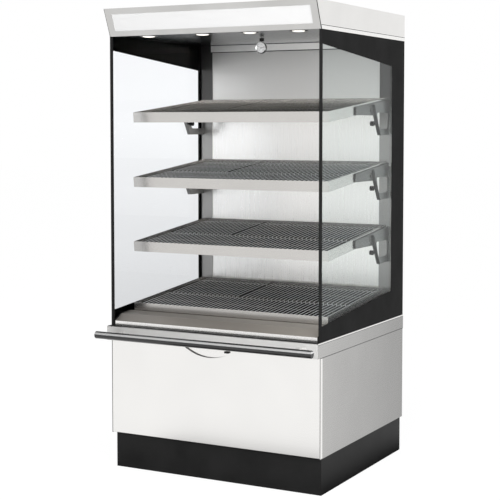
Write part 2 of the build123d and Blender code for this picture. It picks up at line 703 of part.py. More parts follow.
# Base shelf: a fixed pan whose side skirts stand on the deck
base_lip = BASE_SHELF_LIP + BASE_SHELF_HEM
base_tray = set_in_place(tray_pan(BASE_SHELF_LENGTH, base_lip), BASE_SHELF_Z, BASE_SHELF_TILT)
skirt_y0 = SILL_BACK_Y + SKIRT_FRONT_GAP
skirt_y1 = POST_FRONT_Y - BASE_SHELF_BACK_GAP - SKIRT_BACK_GAP
skirt_z0 = BASE_SHELF_Z - BASE_SHELF_LIP
skirt_z1 = skirt_z0 + (skirt_y1 - skirt_y0) * tan(radians(BASE_SHELF_TILT))
skirt = along_x(
    [(skirt_y0, DECK_TOP), (skirt_y1, DECK_TOP), (skirt_y1, skirt_z1), (skirt_y0, skirt_z0)],
    SHELF_HALF_WIDTH - THIN_SHEET, SHELF_HALF_WIDTH,
)
pieces["base_tray"] = base_tray + skirt + mirrored(skirt)
pieces["base_rack"] = set_in_place(
    rack_grid(BASE_SHELF_LENGTH, THIN_SHEET - base_lip), BASE_SHELF_Z, BASE_SHELF_TILT
)

# Door: a folded pan with a half-moon finger hole, its pull cup and its back plate
door_half = PANEL_HALF - DOOR_SIDE_GAP
door_bottom = KICK_TOP + DOOR_GAP
door_top = DECK_BOTTOM - DOOR_GAP
door = block(-door_half, door_half, 0, DOOR_PAN, door_bottom, door_top)
door = chamfer(door.faces().sort_by(Axis.Y)[0].edges(), DOOR_EDGE)
door -= block(
    -door_half + THIN_SHEET, door_half - THIN_SHEET,
    THIN_SHEET, DOOR_PAN,
    door_bottom + THIN_SHEET, door_top - THIN_SHEET,
)


def half_moon(rim, top):
    """The face of the finger hole, a shallow arc below a straight top edge, widened by a rim."""
    half = PULL_HALF_WIDTH + rim
    low = door_top - PULL_TOP - PULL_DEPTH - rim
    arc = ThreePointArc((PULL_X - half, top), (PULL_X, low), (PULL_X + half, top))
    return Plane.XZ * make_face([arc, Line(arc @ 1, arc @ 0)])


moon_top = door_top - PULL_TOP
moon = half_moon(0, moon_top)
cup_top = moon_top + THIN_SHEET
bowl_back = THIN_SHEET + PULL_POCKET
door -= extrude(moon, -THIN_SHEET)
pull_cup = Pos(0, THIN_SHEET, 0) * extrude(half_moon(PULL_RIM, cup_top), -THIN_SHEET)
pull_cup += Pos(0, THIN_SHEET, 0) * extrude(half_moon(THIN_SHEET, cup_top), -PULL_POCKET - THIN_SHEET)
pull_cup -= extrude(moon, -bowl_back)
boss_outer = door_half - THIN_SHEET
boss_inner = boss_outer - DOOR_BOSS
boss_top = HINGE_Z + DOOR_BOSS / 2
hinge_boss = block(boss_inner, boss_outer, THIN_SHEET, DOOR_PAN, door_bottom + THIN_SHEET, boss_top)
hinge_hole_end = PANEL_HALF - HINGE_PIN_REACH - DOOR_SIDE_GAP
hinge_hole = rod_x(HINGE_PIN_RADIUS + HINGE_PIN_FIT, hinge_hole_end, door_half, HINGE_Y, HINGE_Z)
door += hinge_boss + mirrored(hinge_boss)
door -= hinge_hole
door -= mirrored(hinge_hole)
pieces["door_panel"] = door
pieces["door_pull_cup"] = pull_cup
pieces["door_back_plate"] = block(
    -door_half, door_half, DOOR_PAN, DOOR_PAN + SHEET, door_bottom, door_top
)

# Control box, open at its back, with a rocker switch and a knob
control_top = DECK_TOP - SHEET
control_left = PANEL_HALF - CONTROL_WIDTH
control_back = CONTROL_FRONT_Y + CONTROL_DEPTH
control_bottom = control_top - CONTROL_DROP
switch_x = PANEL_HALF - SWITCH_FROM_SIDE
knob_x = PANEL_HALF - KNOB_FROM_SIDE
spindle_end = CONTROL_FRONT_Y + SPINDLE_LENGTH
control_box = block(control_left, PANEL_HALF, CONTROL_FRONT_Y, control_back, control_bottom, control_top)
front_corner = control_box.edges().filter_by(Axis.X).group_by(Axis.Z)[0].sort_by(Axis.Y)[:1]
control_box = chamfer(front_corner, CONTROL_CORNER)
control_box -= block(
    control_left + SHEET, PANEL_HALF - SHEET,
    CONTROL_FRONT_Y + SHEET, control_back,
    control_bottom + SHEET, control_top - SHEET,
)
switch_half = SWITCH_HALF_WIDTH + SWITCH_GAP
switch_tall = SWITCH_HALF_HEIGHT + SWITCH_END_GAP
control_box -= block(
    switch_x - switch_half, switch_x + switch_half,
    CONTROL_FRONT_Y, CONTROL_FRONT_Y + SHEET,
    CONTROL_Z - switch_tall, CONTROL_Z + switch_tall,
)
control_box += rod_y(2 * SPINDLE_RADIUS, CONTROL_FRONT_Y + SHEET, spindle_end, knob_x, CONTROL_Z)
control_box -= rod_y(SPINDLE_RADIUS + SPINDLE_FIT, CONTROL_FRONT_Y, spindle_end, knob_x, CONTROL_Z)
pieces["control_box"] = control_box
rocker = along_x(
    [(-6, -14), (-3, 0), (-6, 14), (4, 14), (10, 5), (10, -5), (4, -14)],
    switch_x - SWITCH_HALF_WIDTH, switch_x + SWITCH_HALF_WIDTH,
)
switch_y = CONTROL_FRONT_Y + SWITCH_PIVOT_DEPTH
pieces["power_switch"] = Pos(0, switch_y, CONTROL_Z) * Rot(-SWITCH_THROW / 2, 0, 0) * rocker
knob_line = [(0, 0.8), (21, 0.8), (14.5, 6), (13, 22), (0, 22)]
knob = revolve(Plane.XY * Polygon(*knob_line, align=None), Axis.Y)
knob += rod_y(SPINDLE_RADIUS, -SPINDLE_LENGTH, 4, 0, 0)
knob = Rot(180, 0, 0) * knob
knob += block(-1.6, 1.6, -23.5, -5, 0, 14)
pieces["thermostat_knob"] = Pos(knob_x, CONTROL_FRONT_Y, CONTROL_Z) * knob

# Blower housing: a sheet cover that stands on the base floor, with a duct to the cooling slots
blower_bottom = KICK_TOP + SHEET
blower_left = -POST_INNER
blower_right = blower_left + BLOWER_WIDTH
blower_back = back_inner - BLOWER_BACK_GAP
duct_left = blower_left + DUCT_INSET
duct_right = blower_right - DUCT_INSET
duct_front = blower_back - DUCT_LAP
duct_back = back_inner - DUCT_BACK_GAP
blower = block(blower_left, blower_right, BLOWER_FRONT_Y, blower_back, blower_bottom, BLOWER_TOP)
blower += block(duct_left, duct_right, duct_front, duct_back, DUCT_BOTTOM, control_top)
blower -= block(
    blower_left + SHEET, blower_right - SHEET,
    BLOWER_FRONT_Y + SHEET, blower_back - SHEET,
    blower_bottom, BLOWER_TOP - SHEET,
)
blower -= block(
    duct_left + SHEET, duct_right - SHEET,
    duct_front + SHEET, duct_back,
    DUCT_BOTTOM + SHEET, control_top - SHEET,
)
grille = Sketch()
grille_x = (blower_left + blower_right) / 2
for row in range(GRILLE_ROWS):
    grille += Pos(grille_x, GRILLE_BOTTOM + row * GRILLE_PITCH) * Rectangle(GRILLE_LENGTH, GRILLE_HEIGHT)
blower -= extrude(Plane.XZ.offset(-BLOWER_FRONT_Y - SHEET) * grille, SHEET)
pieces["blower_housing"] = blower

# The whole case moves so that the origin is below the middle of its overall depth
overall_front = rail_y - RAIL_RADIUS
for name, solid in pieces.items():
    placed = Pos(0, -(overall_front + ceiling_back) / 2, 0) * solid
    placed.label = name
    export_step(placed, f"parts/{name}.step")
print(len(pieces), "pieces")
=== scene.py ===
# %% [markdown]
# # Dressing a heated display case
# The case comes in as a frame of plain metal solids, one for each piece and all in one place.
# This lesson gives every piece its finish, and swaps the round and the wiry ones for finer meshes.
# We start with the tools: Blender's own modules, and a small kit that loads the frame.

# %% Tools
import math

import bmesh
import bpy
from mathutils import Matrix, Vector


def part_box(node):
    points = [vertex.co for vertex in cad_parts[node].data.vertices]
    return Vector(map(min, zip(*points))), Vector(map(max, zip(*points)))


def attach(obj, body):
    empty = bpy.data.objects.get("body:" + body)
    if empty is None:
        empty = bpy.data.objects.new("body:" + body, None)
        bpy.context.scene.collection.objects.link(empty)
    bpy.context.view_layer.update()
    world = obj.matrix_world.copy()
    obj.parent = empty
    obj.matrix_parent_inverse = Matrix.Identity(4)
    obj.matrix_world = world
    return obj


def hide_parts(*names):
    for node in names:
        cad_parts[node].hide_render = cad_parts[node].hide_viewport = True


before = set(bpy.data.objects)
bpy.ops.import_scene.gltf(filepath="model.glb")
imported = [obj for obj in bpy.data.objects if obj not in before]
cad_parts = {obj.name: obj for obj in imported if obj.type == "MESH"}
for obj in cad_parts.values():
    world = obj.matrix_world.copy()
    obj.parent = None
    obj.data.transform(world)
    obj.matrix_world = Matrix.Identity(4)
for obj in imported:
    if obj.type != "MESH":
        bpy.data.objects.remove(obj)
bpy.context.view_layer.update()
print("pieces in the frame:", len(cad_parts))


def add_object(name, data):
    """Make an object that shows this data and put it in the scene."""
    made = bpy.data.objects.new(name, data)
    bpy.context.scene.collection.objects.link(made)
    return made

# %% [markdown]
# ## The camera
# A case photographed for a catalogue is seen from a few metres away through a long lens, so its
# uprights stay almost parallel. The camera stands at the height of the top shelf, to the right of
# the case, and looks a little down. A small shift of the lens does the rest of the framing, which
# keeps the uprights straighter than turning the whole camera would.

# %% Camera
CAMERA_PLACE = (2.6629, -5.0178, 1.492)
CAMERA_TURN = math.radians(28.176)
CAMERA_DOWN = math.radians(3.332)
camera_data = bpy.data.cameras.new("camera")
camera_data.lens = 93.186
camera_data.sensor_width = 36.0
camera_data.shift_y = -0.10
camera = add_object("camera", camera_data)
camera.location = CAMERA_PLACE
camera.rotation_euler = (math.pi / 2 - CAMERA_DOWN, 0, CAMERA_TURN)
bpy.context.scene.camera = camera
print("camera at", CAMERA_PLACE)

# %% [markdown]
# ## Node helpers
# Every finish below is a small graph of shader nodes. A few helpers keep the graphs short: the first
# adds a node and sets its sockets, and another starts a material with a Principled shader in it.

# %% Helpers for finishes


def add_node(tree, kind, **values):
    """Add a node. Names that are sockets are set or linked, the others are the node's settings."""
    node = tree.nodes.new(kind)
    for key, value in values.items():
        if not key.startswith("in_"):
            setattr(node, key, value)
    for key, value in values.items():
        if key.startswith("in_"):
            name = key[3:].replace("_", " ")
            socket = node.inputs[int(name)] if name.isdigit() else node.inputs[name]
            if isinstance(value, bpy.types.NodeSocket):
                tree.links.new(value, socket)
            else:
                socket.default_value = value
    return node


def work_out(tree, operation, *values):
    """Add a maths node for these values or sockets and hand out its result."""
    given = {f"in_{place}": value for place, value in enumerate(values)}
    return add_node(tree, "ShaderNodeMath", operation=operation, **given).outputs["Value"]


def set_constant(material, socket, value):
    """Set one socket of a finish's Principled shader to a fixed value."""
    material.node_tree.nodes["Principled BSDF"].inputs[socket].default_value = value


def start_finish(name, colour, metallic, roughness):
    material = bpy.data.materials.new(name)
    material.use_nodes = True
    tree = material.node_tree
    shader = tree.nodes["Principled BSDF"]
    shader.inputs["Base Color"].default_value = (*colour, 1)
    shader.inputs["Metallic"].default_value = metallic
    shader.inputs["Roughness"].default_value = roughness
    return material, tree, shader


def object_noise(tree, scale, detail=3.0, roughness=0.5, size=1.0):
    """A noise pattern in the piece's own metres, stretched by a scale for each axis."""
    place = add_node(tree, "ShaderNodeTexCoord")
    stretch = add_node(tree, "ShaderNodeMapping", in_Vector=place.outputs["Object"], in_Scale=scale)
    return add_node(
        tree, "ShaderNodeTexNoise", in_Vector=stretch.outputs["Vector"],
        in_Scale=size, in_Detail=detail, in_Roughness=roughness,
    )


def spread(tree, value, low, high):
    node = add_node(tree, "ShaderNodeMapRange", in_Value=value, in_To_Min=low, in_To_Max=high)
    return node.outputs["Result"]


def two_tones(tree, value, dark, light, start=0.3, end=0.7):
    ramp = add_node(tree, "ShaderNodeValToRGB", in_Fac=value)
    ramp.color_ramp.elements[0].position = start
    ramp.color_ramp.elements[0].color = (*dark, 1)
    ramp.color_ramp.elements[1].position = end
    ramp.color_ramp.elements[1].color = (*light, 1)
    return ramp.outputs["Color"]


def bump(tree, shader, height, strength, distance):
    node = add_node(tree, "ShaderNodeBump", in_Height=height, in_Strength=strength, in_Distance=distance)
    tree.links.new(node.outputs["Normal"], shader.inputs["Normal"])
    return node


def share_along(tree, axis, start, end):
    """How far a point lies between two places on one axis of the case, from 0 to 1."""
    place = add_node(tree, "ShaderNodeTexCoord")
    parts = add_node(tree, "ShaderNodeSeparateXYZ", in_Vector=place.outputs["Object"])
    share = add_node(tree, "ShaderNodeMapRange", in_Value=parts.outputs[axis], in_From_Min=start,
                     in_From_Max=end)
    return share.outputs["Result"]


def paint_light_fade(material, axis, stops):
    """Paint reflections and shade into a finish: multiply it by tones that change along one axis; stops are
    (metres, tone).
    """
    tree = material.node_tree
    shader = tree.nodes["Principled BSDF"]
    start, end = stops[0][0], stops[-1][0]
    ramp = add_node(tree, "ShaderNodeValToRGB", in_Fac=share_along(tree, axis, start, end))
    points = ramp.color_ramp.elements
    while len(points) < len(stops):
        points.new(0.5)
    for point, (place, tone) in zip(points, stops):
        point.position = (place - start) / (end - start)
        point.color = (tone, tone, tone, 1)
    socket = shader.inputs["Base Color"]
    plain = socket.links[0].from_socket if socket.links else tuple(socket.default_value)
    both = add_node(tree, "ShaderNodeMix", data_type="RGBA", blend_type="MULTIPLY", in_0=1.0, in_6=plain,
                    in_7=ramp.outputs["Color"])
    tree.links.new(both.outputs[2], socket)


print("helpers for finishes are ready")

# %% [markdown]
# ## Brushed stainless steel
# Most of the case is stainless sheet that was brushed along the length of each panel. The brush
# leaves fine scratches side by side, so a reflection is drawn out across them. We copy that with a
# noise that is stretched along the grain: it drives the roughness and a very shallow bump. A second,
# slow noise changes the tone a little over the panel, as handling and heat do. The fades along one
# axis copy what each sheet mirrored in the studio where it was photographed.

# %% Steel
GRAINS = {"x": (3, 900, 900), "y": (900, 3, 900), "z": (900, 900, 3)}


def brushed_steel(name, tone, grain, rough=(0.24, 0.4), spots=0.03, depth=0.12,
                  tint=(1, 0.99, 0.97), metal=1.0):
    colour = [tone * t for t in tint]
    material, tree, shader = start_finish(name, colour, metal, rough[0])
    brush = object_noise(tree, GRAINS[grain], detail=2.0, roughness=0.6)
    cloud = object_noise(tree, (1, 1, 1), size=5.0)
    dark = [c * (1 - spots) for c in colour]
    light = [min(1.0, c * (1 + spots)) for c in colour]
    tree.links.new(two_tones(tree, cloud.outputs["Fac"], dark, light), shader.inputs["Base Color"])
    tree.links.new(spread(tree, brush.outputs["Fac"], *rough), shader.inputs["Roughness"])
    if depth:
        bump(tree, shader, brush.outputs["Fac"], depth, 0.0002)
    return material


door_steel = brushed_steel("door_steel", 0.90, "x", rough=(0.15, 0.22), spots=0.012, depth=0.03)
# The sides' steel is darker than the door's: painted shade for faces turned to the side.
side_steel = brushed_steel("side_steel", 0.48, "y", rough=(0.24, 0.3), depth=0.02)
deck_steel = brushed_steel("deck_steel", 0.95, "x", rough=(0.26, 0.32), depth=0.02)
sign_steel = brushed_steel("sign_steel", 0.62, "x", rough=(0.3, 0.4), spots=0.06)
# The warm tint of the shelf steel paints the warm light of the lamps on the trays.
shelf_steel = brushed_steel("shelf_steel", 0.62, "x", rough=(0.2, 0.3), depth=0.05, tint=(1, 0.975, 0.94))
# The sill's low tone and brown tint are a painted reflection of the dark shelves and the warm lamps inside
# the case.
sill_steel = brushed_steel("sill_steel", 0.42, "x", rough=(0.3, 0.34), depth=0.0,
                           tint=(1, 0.92, 0.83), metal=0.4)
wall_steel = brushed_steel("wall_steel", 1.0, "z", rough=(0.27, 0.28), spots=0.004, depth=0.0)
post_steel = brushed_steel("post_steel", 0.38, "z", rough=(0.3, 0.45))
hood_steel = brushed_steel("hood_steel", 0.84, "y", rough=(0.25, 0.36), depth=0.05)
# The ceiling's low tone and blue tint are a painted dark reflection under the canopy.
ceiling_steel = brushed_steel("ceiling_steel", 0.2, "x", rough=(0.16, 0.24), depth=0.03, tint=(0.93, 0.97, 1))
bracket_steel = brushed_steel("bracket_steel", 0.2, "z", rough=(0.35, 0.5))
valance_steel = brushed_steel("valance_steel", 0.95, "x", rough=(0.36, 0.4), depth=0.0, metal=0.7)
fascia_steel = brushed_steel("fascia_steel", 0.74, "x", rough=(0.3, 0.36), depth=0.0, metal=0.3)
# Painted reflections and shade, as fades along one axis: the fascia darker to the left, the wall and the
# posts darker above the top shelf, the sides darker towards the back, the sill darker to the left and lighter
# to the right.
paint_light_fade(fascia_steel, "X", [(-0.5, 0.72), (0.1, 1.0)])
paint_light_fade(wall_steel, "Z", [(1.57, 1.0), (1.61, 0.76), (1.86, 0.6)])
paint_light_fade(post_steel, "Z", [(1.45, 1.0), (1.62, 0.22), (1.86, 0.16)])
paint_light_fade(side_steel, "Y", [(-0.385, 1.0), (0.5, 0.62)])
paint_light_fade(sill_steel, "X", [(-0.45, 0.5), (0.0, 0.75), (0.45, 1.1)])
print("kinds of steel:", len([m for m in bpy.data.materials if m.name.endswith("steel")]))

# %% [markdown]
# ## Paint, zinc, plastic and glass
# The plinth and the strip round the side windows are black paint. Paint is smooth but never quite
# flat, so it gets a faint orange-peel bump. Galvanised sheet shows zinc crystals, which are cells
# of a Voronoi pattern, each with its own tone. The windows are clear float glass, a little green.

# %% Black paint and plastic


def black_paint(name, tone, rough, peel):
    material, tree, shader = start_finish(name, (tone, tone, tone * 1.05), 0.0, rough)
    shader.inputs["Specular IOR Level"].default_value = 0.08
    skin = object_noise(tree, (1, 1, 1), size=700.0)
    wear = object_noise(tree, (1, 1, 1), size=9.0, detail=6.0)
    tree.links.new(spread(tree, wear.outputs["Fac"], rough * 0.8, rough * 1.3), shader.inputs["Roughness"])
    tones = two_tones(tree, wear.outputs["Fac"], [tone * 0.85] * 3, [tone * 1.2] * 3)
    tree.links.new(tones, shader.inputs["Base Color"])
    bump(tree, shader, skin.outputs["Fac"], peel, 0.0002)
    return material


plinth_black = black_paint("plinth_black", 0.016, 0.38, 0.15)
border_black = black_paint("border_black", 0.02, 0.3, 0.03)
set_constant(border_black, "IOR", 1.1)
plastic_black = black_paint("plastic_black", 0.02, 0.42, 0.25)
print("plinth tone 0.016")

# %% Galvanised sheet
ZINC_CELLS = 55.0


def zinc_sheet(name):
    material, tree, shader = start_finish(name, (0.45, 0.46, 0.47), 1.0, 0.42)
    place = add_node(tree, "ShaderNodeTexCoord")
    cells = add_node(tree, "ShaderNodeTexVoronoi", in_Vector=place.outputs["Object"], in_Scale=ZINC_CELLS)
    fine = object_noise(tree, (1, 1, 1), size=260.0)
    tones = two_tones(tree, cells.outputs["Color"], (0.34, 0.35, 0.36), (0.55, 0.56, 0.57), 0.1, 0.9)
    tree.links.new(tones, shader.inputs["Base Color"])
    tree.links.new(spread(tree, cells.outputs["Distance"], 0.34, 0.55), shader.inputs["Roughness"])
    bump(tree, shader, fine.outputs["Fac"], 0.08, 0.0002)
    return material


zinc = zinc_sheet("zinc")
print("zinc cells are about", round(1000 / ZINC_CELLS), "mm across")

# %% Glass


def clear_glass(name, colour):
    material, tree, shader = start_finish(name, colour, 0.0, 0.0)
    shader.inputs["Transmission Weight"].default_value = 1.0
    shader.inputs["IOR"].default_value = 1.12
    haze = object_noise(tree, (1, 1, 1), size=3.0, detail=5.0)
    tree.links.new(spread(tree, haze.outputs["Fac"], 0.0, 0.02), shader.inputs["Roughness"])
    return material


window_glass = clear_glass("window_glass", (0.93, 0.97, 0.965))
# The left window is a copy of the glass with a painted reflection: it turns darker towards the bottom.
left_glass = clear_glass("left_glass", (0.95, 0.965, 0.985))
paint_light_fade(left_glass, "Z", [(0.7, 0.74), (1.1, 0.87), (1.5, 1.0)])
lens_glass = clear_glass("lens_glass", (0.99, 0.99, 0.99))
set_constant(lens_glass, "Transmission Weight", 0.0)
set_constant(lens_glass, "Alpha", 0.1)
print("clear finishes: window and lens")

# %% [markdown]
# ## Chrome, wire and white sheet
# The thermometer's cup and the screws are polished, so they are nearly mirrors. The tube and the shelf wires
# are only part metal here, which keeps them light where little bright room is left for them to mirror. The
# top rack's wires are darker, browner and rougher than the others. The sign is a sheet of white acrylic,
# which we copy with a soft surface and a thin gloss.

# %% Chrome and wire


def polished(name, tone, rough, tint=(1, 1, 1)):
    colour = [tone * t for t in tint]
    material, tree, shader = start_finish(name, colour, 1.0, rough)
    rub = object_noise(tree, (4, 4, 4), detail=2.0)
    tree.links.new(spread(tree, rub.outputs["Fac"], rough * 0.8, rough * 1.2), shader.inputs["Roughness"])
    cloud = object_noise(tree, (1, 1, 1), size=30.0)
    tones = two_tones(tree, cloud.outputs["Fac"], [c * 0.93 for c in colour], colour)
    tree.links.new(tones, shader.inputs["Base Color"])
    return material


chrome = polished("chrome", 0.82, 0.07)
tube_chrome = polished("tube_chrome", 0.85, 0.06)
set_constant(tube_chrome, "Metallic", 0.5)
bright_wire = polished("bright_wire", 1.0, 0.25, tint=(0.97, 0.99, 1))
set_constant(bright_wire, "Metallic", 0.15)
dull_wire = polished("dull_wire", 0.5, 0.35, tint=(1, 0.95, 0.88))
# Painted shade: a near-black finish without gloss for the floors of the pans below the racks.
painted_shade_pan = black_paint("painted_shade_pan", 0.022, 0.4, 0.05)
set_constant(painted_shade_pan, "Specular IOR Level", 0.0)
print("chrome roughness about 0.07")

# %% White acrylic, dial and lamp


def white_sheet(name, tone, rough):
    material, tree, shader = start_finish(name, (tone, tone, tone * 0.99), 0.0, rough)
    shader.inputs["Coat Weight"].default_value = 0.4
    shader.inputs["Coat Roughness"].default_value = 0.06
    cloud = object_noise(tree, (1, 1, 1), size=4.0)
    tones = two_tones(tree, cloud.outputs["Fac"], [tone * 0.985] * 3, [tone] * 3)
    tree.links.new(tones, shader.inputs["Base Color"])
    fine = object_noise(tree, (1, 1, 1), size=300.0)
    bump(tree, shader, fine.outputs["Fac"], 0.02, 0.0001)
    return material


def lit_lens(name, colour, strength):
    material, tree, shader = start_finish(name, (0.9, 0.9, 0.88), 0.0, 0.3)
    place = add_node(tree, "ShaderNodeTexCoord")
    facets = add_node(tree, "ShaderNodeTexVoronoi", in_Vector=place.outputs["Object"], in_Scale=260.0)
    glow = two_tones(tree, facets.outputs["Distance"], colour, (1, 1, 0.96), 0.0, 0.8)
    tree.links.new(glow, shader.inputs["Emission Color"])
    shader.inputs["Emission Strength"].default_value = strength
    return material


sign_white = white_sheet("sign_white", 0.74, 0.35)
dial_white = white_sheet("dial_white", 0.86, 0.5)
lamp_lens = lit_lens("lamp_lens", (1.0, 0.88, 0.7), 1.3)
print("finishes so far:", len(bpy.data.materials))

# %% [markdown]
# ## Dressing the plain sheet pieces
# A piece whose shape is already right only needs its finish. Folded sheet is like that: the fold
# lines, the thickness and the cut-outs came with the frame. This table says which finish goes on
# which piece.

# %% Finish for each piece of the frame
LEVELS = ("top", "middle", "lower")
DRESS = {
    "plinth": plinth_black, "base_floor": zinc, "base_back": zinc, "blower_housing": zinc,
    "base_side_left": side_steel, "base_side_right": side_steel, "deck": deck_steel,
    "front_sill": sill_steel, "sill_end_left": border_black, "sill_end_right": border_black,
    "side_glass_left": left_glass, "side_glass_right": window_glass,
    "glass_channel_left": border_black, "glass_channel_right": border_black,
    "side_border_left": border_black, "side_border_right": border_black,
    "upright_left": post_steel, "upright_right": post_steel, "back_wall": wall_steel,
    "rear_casing": plinth_black, "valance": valance_steel, "canopy_hood": hood_steel,
    "canopy_ceiling": ceiling_steel, "sign_frame": sign_steel, "sign_panel": sign_white,
    "bumper_stand_off_left": fascia_steel, "bumper_stand_off_right": fascia_steel,
    "base_tray": shelf_steel, "control_box": side_steel,
    "door_panel": door_steel, "door_pull_cup": door_steel, "door_back_plate": zinc,
}
for level in LEVELS:
    DRESS["shelf_tray_" + level] = shelf_steel
    for side in ("left", "right"):
        DRESS[f"bracket_{level}_{side}"] = bracket_steel


def dress(node, material):
    """Give a piece of the frame this finish and no other. Its mesh is left alone."""
    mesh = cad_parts[node].data
    mesh.materials.clear()
    mesh.materials.append(material)


for name, material in DRESS.items():
    dress(name, material)
print("dressed:", len(DRESS), "of", len(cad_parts))

# %% [markdown]
# Some pieces wear two finishes. The floor of each shelf pan is painted near black as the shade below its
# rack, while its walls stay bright. The thumbscrew that clamps a bracket has a black plastic head. We pick
# those faces by where they are.

# %% Second finish on some faces
SHELF_SLOPE = 6.0
BASE_SLOPE = 5.0
FLOOR_REACH = 0.008
ARM_INSIDE, HEAD_TOP, HEAD_FRONT = 0.4735, 0.04, 0.15


def second_finish(node, material, chosen):
    """Give another finish to the faces of a node whose centre and direction a test chooses."""
    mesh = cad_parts[node].data
    mesh.materials.append(material)
    count = 0
    for face in mesh.polygons:
        if chosen(face.center, face.normal):
            face.material_index = len(mesh.materials) - 1
            count += 1
    return count


def pan_floor(rack_low, slope):
    """Chooses the faces that lie below a rack, on the slope of its shelf."""
    rise = math.tan(math.radians(slope))

    def chosen(centre, normal):
        level = rack_low.z + FLOOR_REACH + rise * (centre.y - rack_low.y)
        return normal.z > 0.9 and centre.z < level

    return chosen


def screw_heads(tray_low):
    """Chooses the faces of a bracket's thumbscrew, inside its arm and low at the back."""
    return lambda centre, normal: (
        abs(centre.x) < ARM_INSIDE and centre.z < tray_low.z + HEAD_TOP and centre.y > HEAD_FRONT)


changed = 0
for level in LEVELS:
    floor_faces = pan_floor(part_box("shelf_rack_" + level)[0], SHELF_SLOPE)
    changed += second_finish("shelf_tray_" + level, painted_shade_pan, floor_faces)
changed += second_finish("base_tray", painted_shade_pan, pan_floor(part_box("base_rack")[0], BASE_SLOPE))
# Painted light and shade: the deck's sides get a darker steel and its front a lighter one, the sill's lip and
# the ceiling's sides get the bright door steel, and the upward faces of the pull's recess get dark steel as
# the shade in it.
changed += second_finish("deck", side_steel, lambda centre, normal: abs(normal.x) > 0.7)
changed += second_finish("deck", fascia_steel, lambda centre, normal: normal.y < -0.9)
changed += second_finish("front_sill", door_steel, lambda centre, normal: normal.y < -0.9)
changed += second_finish("canopy_ceiling", door_steel, lambda centre, normal: abs(normal.x) > 0.7)
changed += second_finish("door_pull_cup", bracket_steel,
                         lambda centre, normal: normal.z > 0.25 and abs(normal.y) < 0.5)
for level in LEVELS:
    head_faces = screw_heads(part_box("shelf_tray_" + level)[0])
    for side in ("left", "right"):
        changed += second_finish(f"bracket_{level}_{side}", plastic_black, head_faces)
print("faces with a second finish:", changed)

# %% Duller wall above the top shelf
DULL_START, DULL_FULL = 1.57, 1.61
ADDED_ROUGHNESS = 0.2
tree = wall_steel.node_tree
shader = tree.nodes["Principled BSDF"]
brushed = shader.inputs["Roughness"].links[0].from_socket
above_shelf = share_along(tree, "Z", DULL_START, DULL_FULL)
duller = work_out(tree, "MULTIPLY_ADD", above_shelf, ADDED_ROUGHNESS, brushed)
tree.links.new(duller, shader.inputs["Roughness"])
print("the wall is darker and duller above 1.6 m")

# %% [markdown]
# ## Making a piece of our own
# A finer piece takes the place of a plain one. Its mesh is written straight into the place where the
# piece stands, its object stays at the origin, and it rides on the body that the plain one rode on,
# so that it moves with its joint.

# %% Helper for new pieces
ROUND = 48


def to_piece(name, mesh, body, stands_for=()):
    mesh.name = name
    piece = add_object(name, mesh)
    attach(piece, body)
    if stands_for:
        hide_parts(*stands_for)
    return piece


def finish_mesh(shape, materials, smooth=True):
    """Close a bmesh into a mesh, with its doubles merged and its faces turned outwards."""
    bmesh.ops.remove_doubles(shape, verts=shape.verts, dist=1e-6)
    bmesh.ops.recalc_face_normals(shape, faces=shape.faces)
    for face in shape.faces:
        face.smooth = smooth
    mesh = bpy.data.meshes.new("mesh")
    shape.to_mesh(mesh)
    shape.free()
    for material in materials:
        mesh.materials.append(material)
    return mesh


def lathe(shape, line, turn, sides, finish_at=None):
    """Turn a line of (radius, height) points about an axis; turn places the axis. Poles are closed."""
    rings = []
    for radius, height in line:
        if radius < 1e-7:
            rings.append([shape.verts.new(turn @ Vector((0, 0, height)))])
            continue
        ring = []
        for i in range(sides):
            a = 2 * math.pi * i / sides
            ring.append(shape.verts.new(turn @ Vector((radius * math.cos(a), radius * math.sin(a), height))))
        rings.append(ring)
    for step, (low, high) in enumerate(zip(rings, rings[1:])):
        for i in range(sides):
            j = (i + 1) % sides
            corners = [low[i % len(low)], low[j % len(low)], high[j % len(high)], high[i % len(high)]]
            corners = list(dict.fromkeys(corners))
            if len(corners) > 2:
                face = shape.faces.new(corners)
                face.material_index = finish_at[step] if finish_at else 0


def facing_front(x, y, z):
    """Places a lathe's axis at a point, pointing out of the front of the case."""
    return Matrix.Translation((x, y, z)) @ Matrix.Rotation(math.pi / 2, 4, "X")


def sided(side, outer, inner):
    """The lower and the higher x of a strip on the left, -1, or on the right, 1."""
    return min(side * outer, side * inner), max(side * outer, side * inner)


def slab(shape, low, high):
    """Add a plain box between two corners."""
    corners = bmesh.ops.create_cube(shape, size=1.0)["verts"]
    for v in corners:
        v.co = Vector([(low, high)[v.co[axis] > 0][axis] for axis in range(3)])
    return corners


def box_mesh(boxes, material):
    """Plain boxes, each between two corners, as one mesh with flat faces."""
    shape = bmesh.new()
    for low, high in boxes:
        slab(shape, low, high)
    return finish_mesh(shape, [material], smooth=False)


def turned(line, turn, material, smooth=True, sides=ROUND):
    """One line turned on the lathe, as a mesh of its own."""
    shape = bmesh.new()
    lathe(shape, line, turn, sides)
    return finish_mesh(shape, [material], smooth)


def soften(mesh, degrees=32):
    """Shade smooth, with the folds sharper than this angle kept crisp."""
    shape = bmesh.new()
    shape.from_mesh(mesh)
    for edge in shape.edges:
        if len(edge.link_faces) == 2 and edge.calc_face_angle() > math.radians(degrees):
            edge.smooth = False
    shape.to_mesh(mesh)
    shape.free()
    return mesh


print("piece helpers are ready")

# %% [markdown]
# ## The bumper tube
# A polished steel tube runs across the front, to keep trolleys off the glass. It could be a stock
# cylinder, but a real tube has plugs with rounded rims in its ends. We turn its outline on a lathe:
# down the tube's wall, over the rim of the plug and in to the middle.

